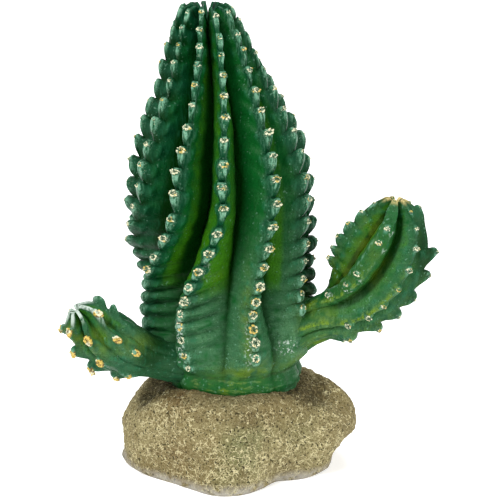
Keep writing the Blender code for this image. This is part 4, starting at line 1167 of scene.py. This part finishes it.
def green_paint(name, apex_colour):
    n = Nodes(name)
    foot, knob = n.attribute("foot"), n.attribute("knob")
    cloudy, patchy, fine = n.noise(0.09, 3.0), n.noise(0.3, 3.0), n.noise(2.2, 2.0)
    brush = n.noise(0.9, 3.0, (1.0, 1.0, 0.3))
    level = n.noise(0.9, 3.0, (0.3, 0.3, 1.0))
    cool = n.roughened(n.attribute("cool"), cloudy, 1.2)
    yellow = n.roughened(n.attribute("yellow"), patchy, 0.7)
    dark = n.roughened(n.attribute("dark"), patchy, 0.25)
    brushed = n.ramp(brush, 0.3, 0.6)

    # The washes over a rib's sides, from its crest to its valley.
    n.base = n.mix(n.ramp(cool, 0.2, 0.9), DEEP_GREEN, TEAL_GREEN)
    dusty = n.times(n.attribute("dusty"), n.ramp(patchy, 0.2, 0.5), 0.9)
    n.coat(DUSTY_GREEN, dusty)
    n.coat(PALE_DUST_AND_HIGHLIGHT, dusty, n.ramp(level, 0.5, 0.75), 0.45)
    n.coat(YELLOW_GREEN, n.ramp(yellow, 0.2, 0.9))
    # The dark wash from the valleys up, partly painted shade.
    n.coat(NEAR_BLACK, n.ramp(dark, 0.15, 0.85))
    # Pale spots, partly painted highlight.
    n.coat(PALE_DUST_AND_HIGHLIGHT, n.attribute("pale"), n.ramp(patchy, 0.3, 0.65), brushed, 0.75)
    # Dark between the teeth: partly a dark wash, partly painted shade.
    n.coat(NEAR_BLACK, n.ramp(n.attribute("notch"), 0.1, 0.8), 0.75)
    # Painted shade: the shade spots and the crease lines along the valleys.
    shade = n.times(n.ramp(n.attribute("shade"), 0.1, 0.9), n.ramp(patchy, 0.25, 0.5), 0.8)
    n.coat(NEAR_BLACK, n.math("MAXIMUM", shade, n.attribute("crease")))
    n.coat(NECK_TEAL, n.ramp(brush, 0.5, 0.72), n.ramp(cool, 0.1, 0.8), 0.35)
    n.coat(OLIVE, n.attribute("olive"), n.ramp(n.noise(0.22, 4.0), 0.3, 0.62), 0.85)

    # The teeth, dry-brushed from their shoulders to their tips, with painted highlights on the shoulders
    # and on the knobs.
    # The shoulders' soft pale paint: a painted highlight.
    n.coat(NECK_TEAL, n.attribute("shoulder"), brushed, 0.7)
    n.coat(NECK_TEAL, n.ramp(n.attribute("neck"), 0.4, 1.0), brushed, 0.75)
    # Pale paint on the knobs: dry-brushed paint, partly painted highlight.
    n.coat(PALE_TEAL, n.ramp(knob, 0.45, 1.0), n.ramp(brush, 0.42, 0.6), 0.95)
    dry = n.ramp(n.noise(1.5, 3.0, rough=0.7), 0.52, 0.64)
    n.coat(PALE_TEAL, dry, n.ramp(knob, 0.2, 0.8), n.ramp(patchy, 0.35, 0.6), 0.6)
    n.coat(DEEP_GREEN, n.ramp(foot, *STREAKS_BELOW), n.ramp(level, 0.66, 0.5), 0.8)
    # Cream flecks on the knobs: painted glints, partly real flecks of cream paint.
    n.coat(CREAM, n.ramp(fine, 0.66, 0.72), n.ramp(knob, 0.3, 0.9), 0.5)

    # Yellow-green and pale edges, frost, rust, and the lines round the column's foot: painted shadow in
    # its grooves and a painted highlight on its rim.
    n.coat(LIME, n.attribute("lime"), n.ramp(patchy, 0.36, 0.6), n.ramp(brush, 0.3, 0.5), 0.85)
    n.coat(PALE_TEAL, n.attribute("edge"), n.attribute("edged"), n.ramp(brush, 0.42, 0.62), 0.7)
    n.coat(FROST, n.ramp(n.attribute("frost"), 0.3, 0.8), n.ramp(n.noise(0.95, 2.0), 0.54, 0.59), 0.9)
    n.coat(RUST, n.attribute("rust"), 0.85)
    for height, colour in FOOT_LINES:
        line = n.times(n.ramp(foot, height - 0.9, height - 0.2), n.ramp(foot, height + 0.9, height + 0.2))
        n.coat(colour, line, n.ramp(level, 0.35, 0.55), 0.55)

    # Fine pale specks, partly painted glints, and dark grime all over, and the streaks at an arm's end.
    specks = n.ramp(n.noise(1.1, 0.0), 0.72, 0.76)
    n.coat(PALE_TEAL, specks, n.ramp(patchy, 0.4, 0.6), n.ramp(dark, 0.4, 0.1), 0.45)
    n.coat(NEAR_BLACK, n.ramp(fine, 0.52, 0.34), n.ramp(patchy, 0.3, 0.6), 0.5)
    n.coat(apex_colour, n.ramp(n.attribute("apex"), 0.1, 0.8), n.ramp(brush, 0.3, 0.5), 0.9)
    n.bump(n.math("ADD", fine, n.math("MULTIPLY", brush, 1.5)), 0.2, 0.8)
    return n.finished(0.42, 0.09)


def areole_paint(name, ochre_from, low, high):
    n = Nodes(name)
    grain = n.noise(1.6, 2.0)
    cream = n.mix(n.ramp(n.noise(0.35, 1.0), ochre_from - 0.05, ochre_from + 0.05), CREAM, OCHRE)
    n.base = n.mix(n.ramp(grain, 0.42, 0.6), low, high)
    n.coat(cream, n.ramp(n.roughened(n.attribute("tone"), grain, 1.5), 0.3, 0.6))
    n.bump(grain, 0.2, 0.6)
    return n.finished(0.5)


def stone_paint():
    n = Nodes("stone_paint")
    pit, high = n.attribute("pit"), n.attribute("high")
    patches, stain = n.noise(0.05, 2.0), n.noise(0.11, 3.0)
    n.base = n.mix(n.ramp(patches, 0.4, 0.6), SAND, PALE_SAND)
    n.coat(MOSSY_SAND, n.attribute("moss"), n.ramp(stain, 0.3, 0.55), 0.95)
    n.coat(BROWN_SAND, n.ramp(stain, 0.56, 0.72), 0.6)
    n.coat(BROWN_SAND, n.attribute("brown"), n.ramp(patches, 0.3, 0.6), 0.85)
    n.coat(STAIN_BROWN, n.attribute("rust"), n.ramp(stain, 0.3, 0.6))
    grain = n.noise(1.7, 3.0, rough=0.75)
    n.coat(BROWN_SAND, n.ramp(grain, 0.5, 0.36), 0.85)
    n.coat(WORM_CREAM, n.ramp(grain, 0.55, 0.66), 0.4)
    gathered = n.math("MULTIPLY", n.attribute("squiggle"), 0.16)
    for per_mm, wide, cover in STONE_WORMS:
        here = n.math("ADD", n.noise(per_mm * 0.8, 1.0), gathered)
        worm = n.ramp(n.cracks(per_mm), wide, wide * 0.4)
        n.coat(WORM_CREAM, worm, n.ramp(here, cover - 0.03, cover + 0.03), 0.9)
    n.coat(PIT_BROWN, n.ramp(n.noise(1.25, 0.0), 0.33, 0.27), 0.9)
    n.coat(PIT_BROWN, n.ramp(pit, 0.3, 0.9), 0.8)
    shade = n.math("ADD", n.attribute("shade"), n.math("MULTIPLY", n.ramp(high, *LEDGE_SHADE), 0.45))
    n.coat(SHADE_BROWN, n.ramp(shade, 0.15, 0.7), n.ramp(n.noise(1.0, 4.0, rough=0.8), 0.4, 0.53), 0.85)
    n.coat(WORN_GREY, n.ramp(high, *WORN_RIM), n.ramp(n.noise(0.3, 2.0), 0.3, 0.55), 0.75)
    n.bump(n.noise(1.1, 4.0, rough=0.75), 0.8, 1.0)
    return n.finished(0.9, 0.2)


def floor_paint():
    n = Nodes("floor_paint")
    n.base = (0.9, 0.9, 0.9, 1.0)
    n.fill(n.shader, {"Emission Color": (1.0, 1.0, 1.0, 1.0), "Emission Strength": FLOOR_GLOW})
    return n.finished(1.0, 0.0)


# ---- Stage, light and camera ----


def add_aimed(name, data, place, way):
    """A light or a camera that looks along a way."""
    made = add_object(name, data)
    made.location = place
    made.rotation_euler = way.to_track_quat("-Z", "Y").to_euler()
    return made


def area_light(name, place, size, power):
    data = bpy.data.lights.new(name, "AREA")
    data.size, data.energy = size, power
    add_aimed(name, data, place, Vector(LIGHTS_AIM) - Vector(place))


def make_stage():
    bpy.ops.mesh.primitive_plane_add(size=FLOOR_SIZE)
    floor = bpy.context.object
    floor.name = "floor"
    floor.data.materials.append(floor_paint())
    world = bpy.data.worlds.new("studio")
    world.use_nodes = True
    background = world.node_tree.nodes["Background"]
    background.inputs["Color"].default_value = (1, 1, 1, 1)
    background.inputs["Strength"].default_value = WORLD_GLOW
    bpy.context.scene.world = world
    for name, (place, size, power) in LIGHTS.items():
        area_light(name, place, size, power)


def make_camera():
    target = Vector(TARGET) * MM
    elevation = math.radians(CAMERA_ELEVATION)
    away = Vector((0.0, -math.cos(elevation), math.sin(elevation)))
    data = bpy.data.cameras.new("camera")
    data.sensor_width = SENSOR_MM
    data.lens = SENSOR_MM * CAMERA_DISTANCE / (MM_PER_PIXEL * IMAGE_PIXELS)
    place = target + away * CAMERA_DISTANCE * MM
    bpy.context.scene.camera = add_aimed("camera", data, place, -away)


# ---- Everything together ----


def finish_piece(piece, slot, *nodes):
    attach(piece, "root")
    if nodes:
        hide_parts(*nodes)


def main():
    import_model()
    make_stage()
    make_camera()
    bpy.context.scene.view_settings.view_transform = "Standard"

    green, frosted = green_paint("green_paint", SANDY), green_paint("frosted_green_paint", FROST)
    cream = areole_paint("areole_paint", 0.58, UNDER_GREEN, NECK_TEAL)
    ochre = areole_paint("ochre_areole_paint", 0.42, EARTH, OLIVE)
    column = RibbedBody(UprightSpine(COLUMN_SPINE), column_angles, seed=11, **COLUMN)
    right, left = arm_body(seed=21, **RIGHT_ARM), arm_body(seed=31, **LEFT_ARM)
    finish_piece(ribbed_piece("column_skin", column, green), "green_resin", "main_column")
    finish_piece(
        ribbed_piece("right_arm_skin", right, green), "green_resin", "right_arm_elbow", "right_arm_head"
    )
    finish_piece(
        ribbed_piece("left_arm_skin", left, frosted), "green_resin", "left_arm_elbow", "left_arm_head"
    )
    finish_piece(areole_piece("column_areoles", column, cream, 41), "green_resin")
    finish_piece(areole_piece("right_arm_areoles", right, cream, 42), "green_resin")
    finish_piece(areole_piece("left_arm_areoles", left, ochre, 43), "green_resin")
    finish_piece(stone_piece("stone_skin", stone_paint()), "stone_resin", "stone_foot")


main()
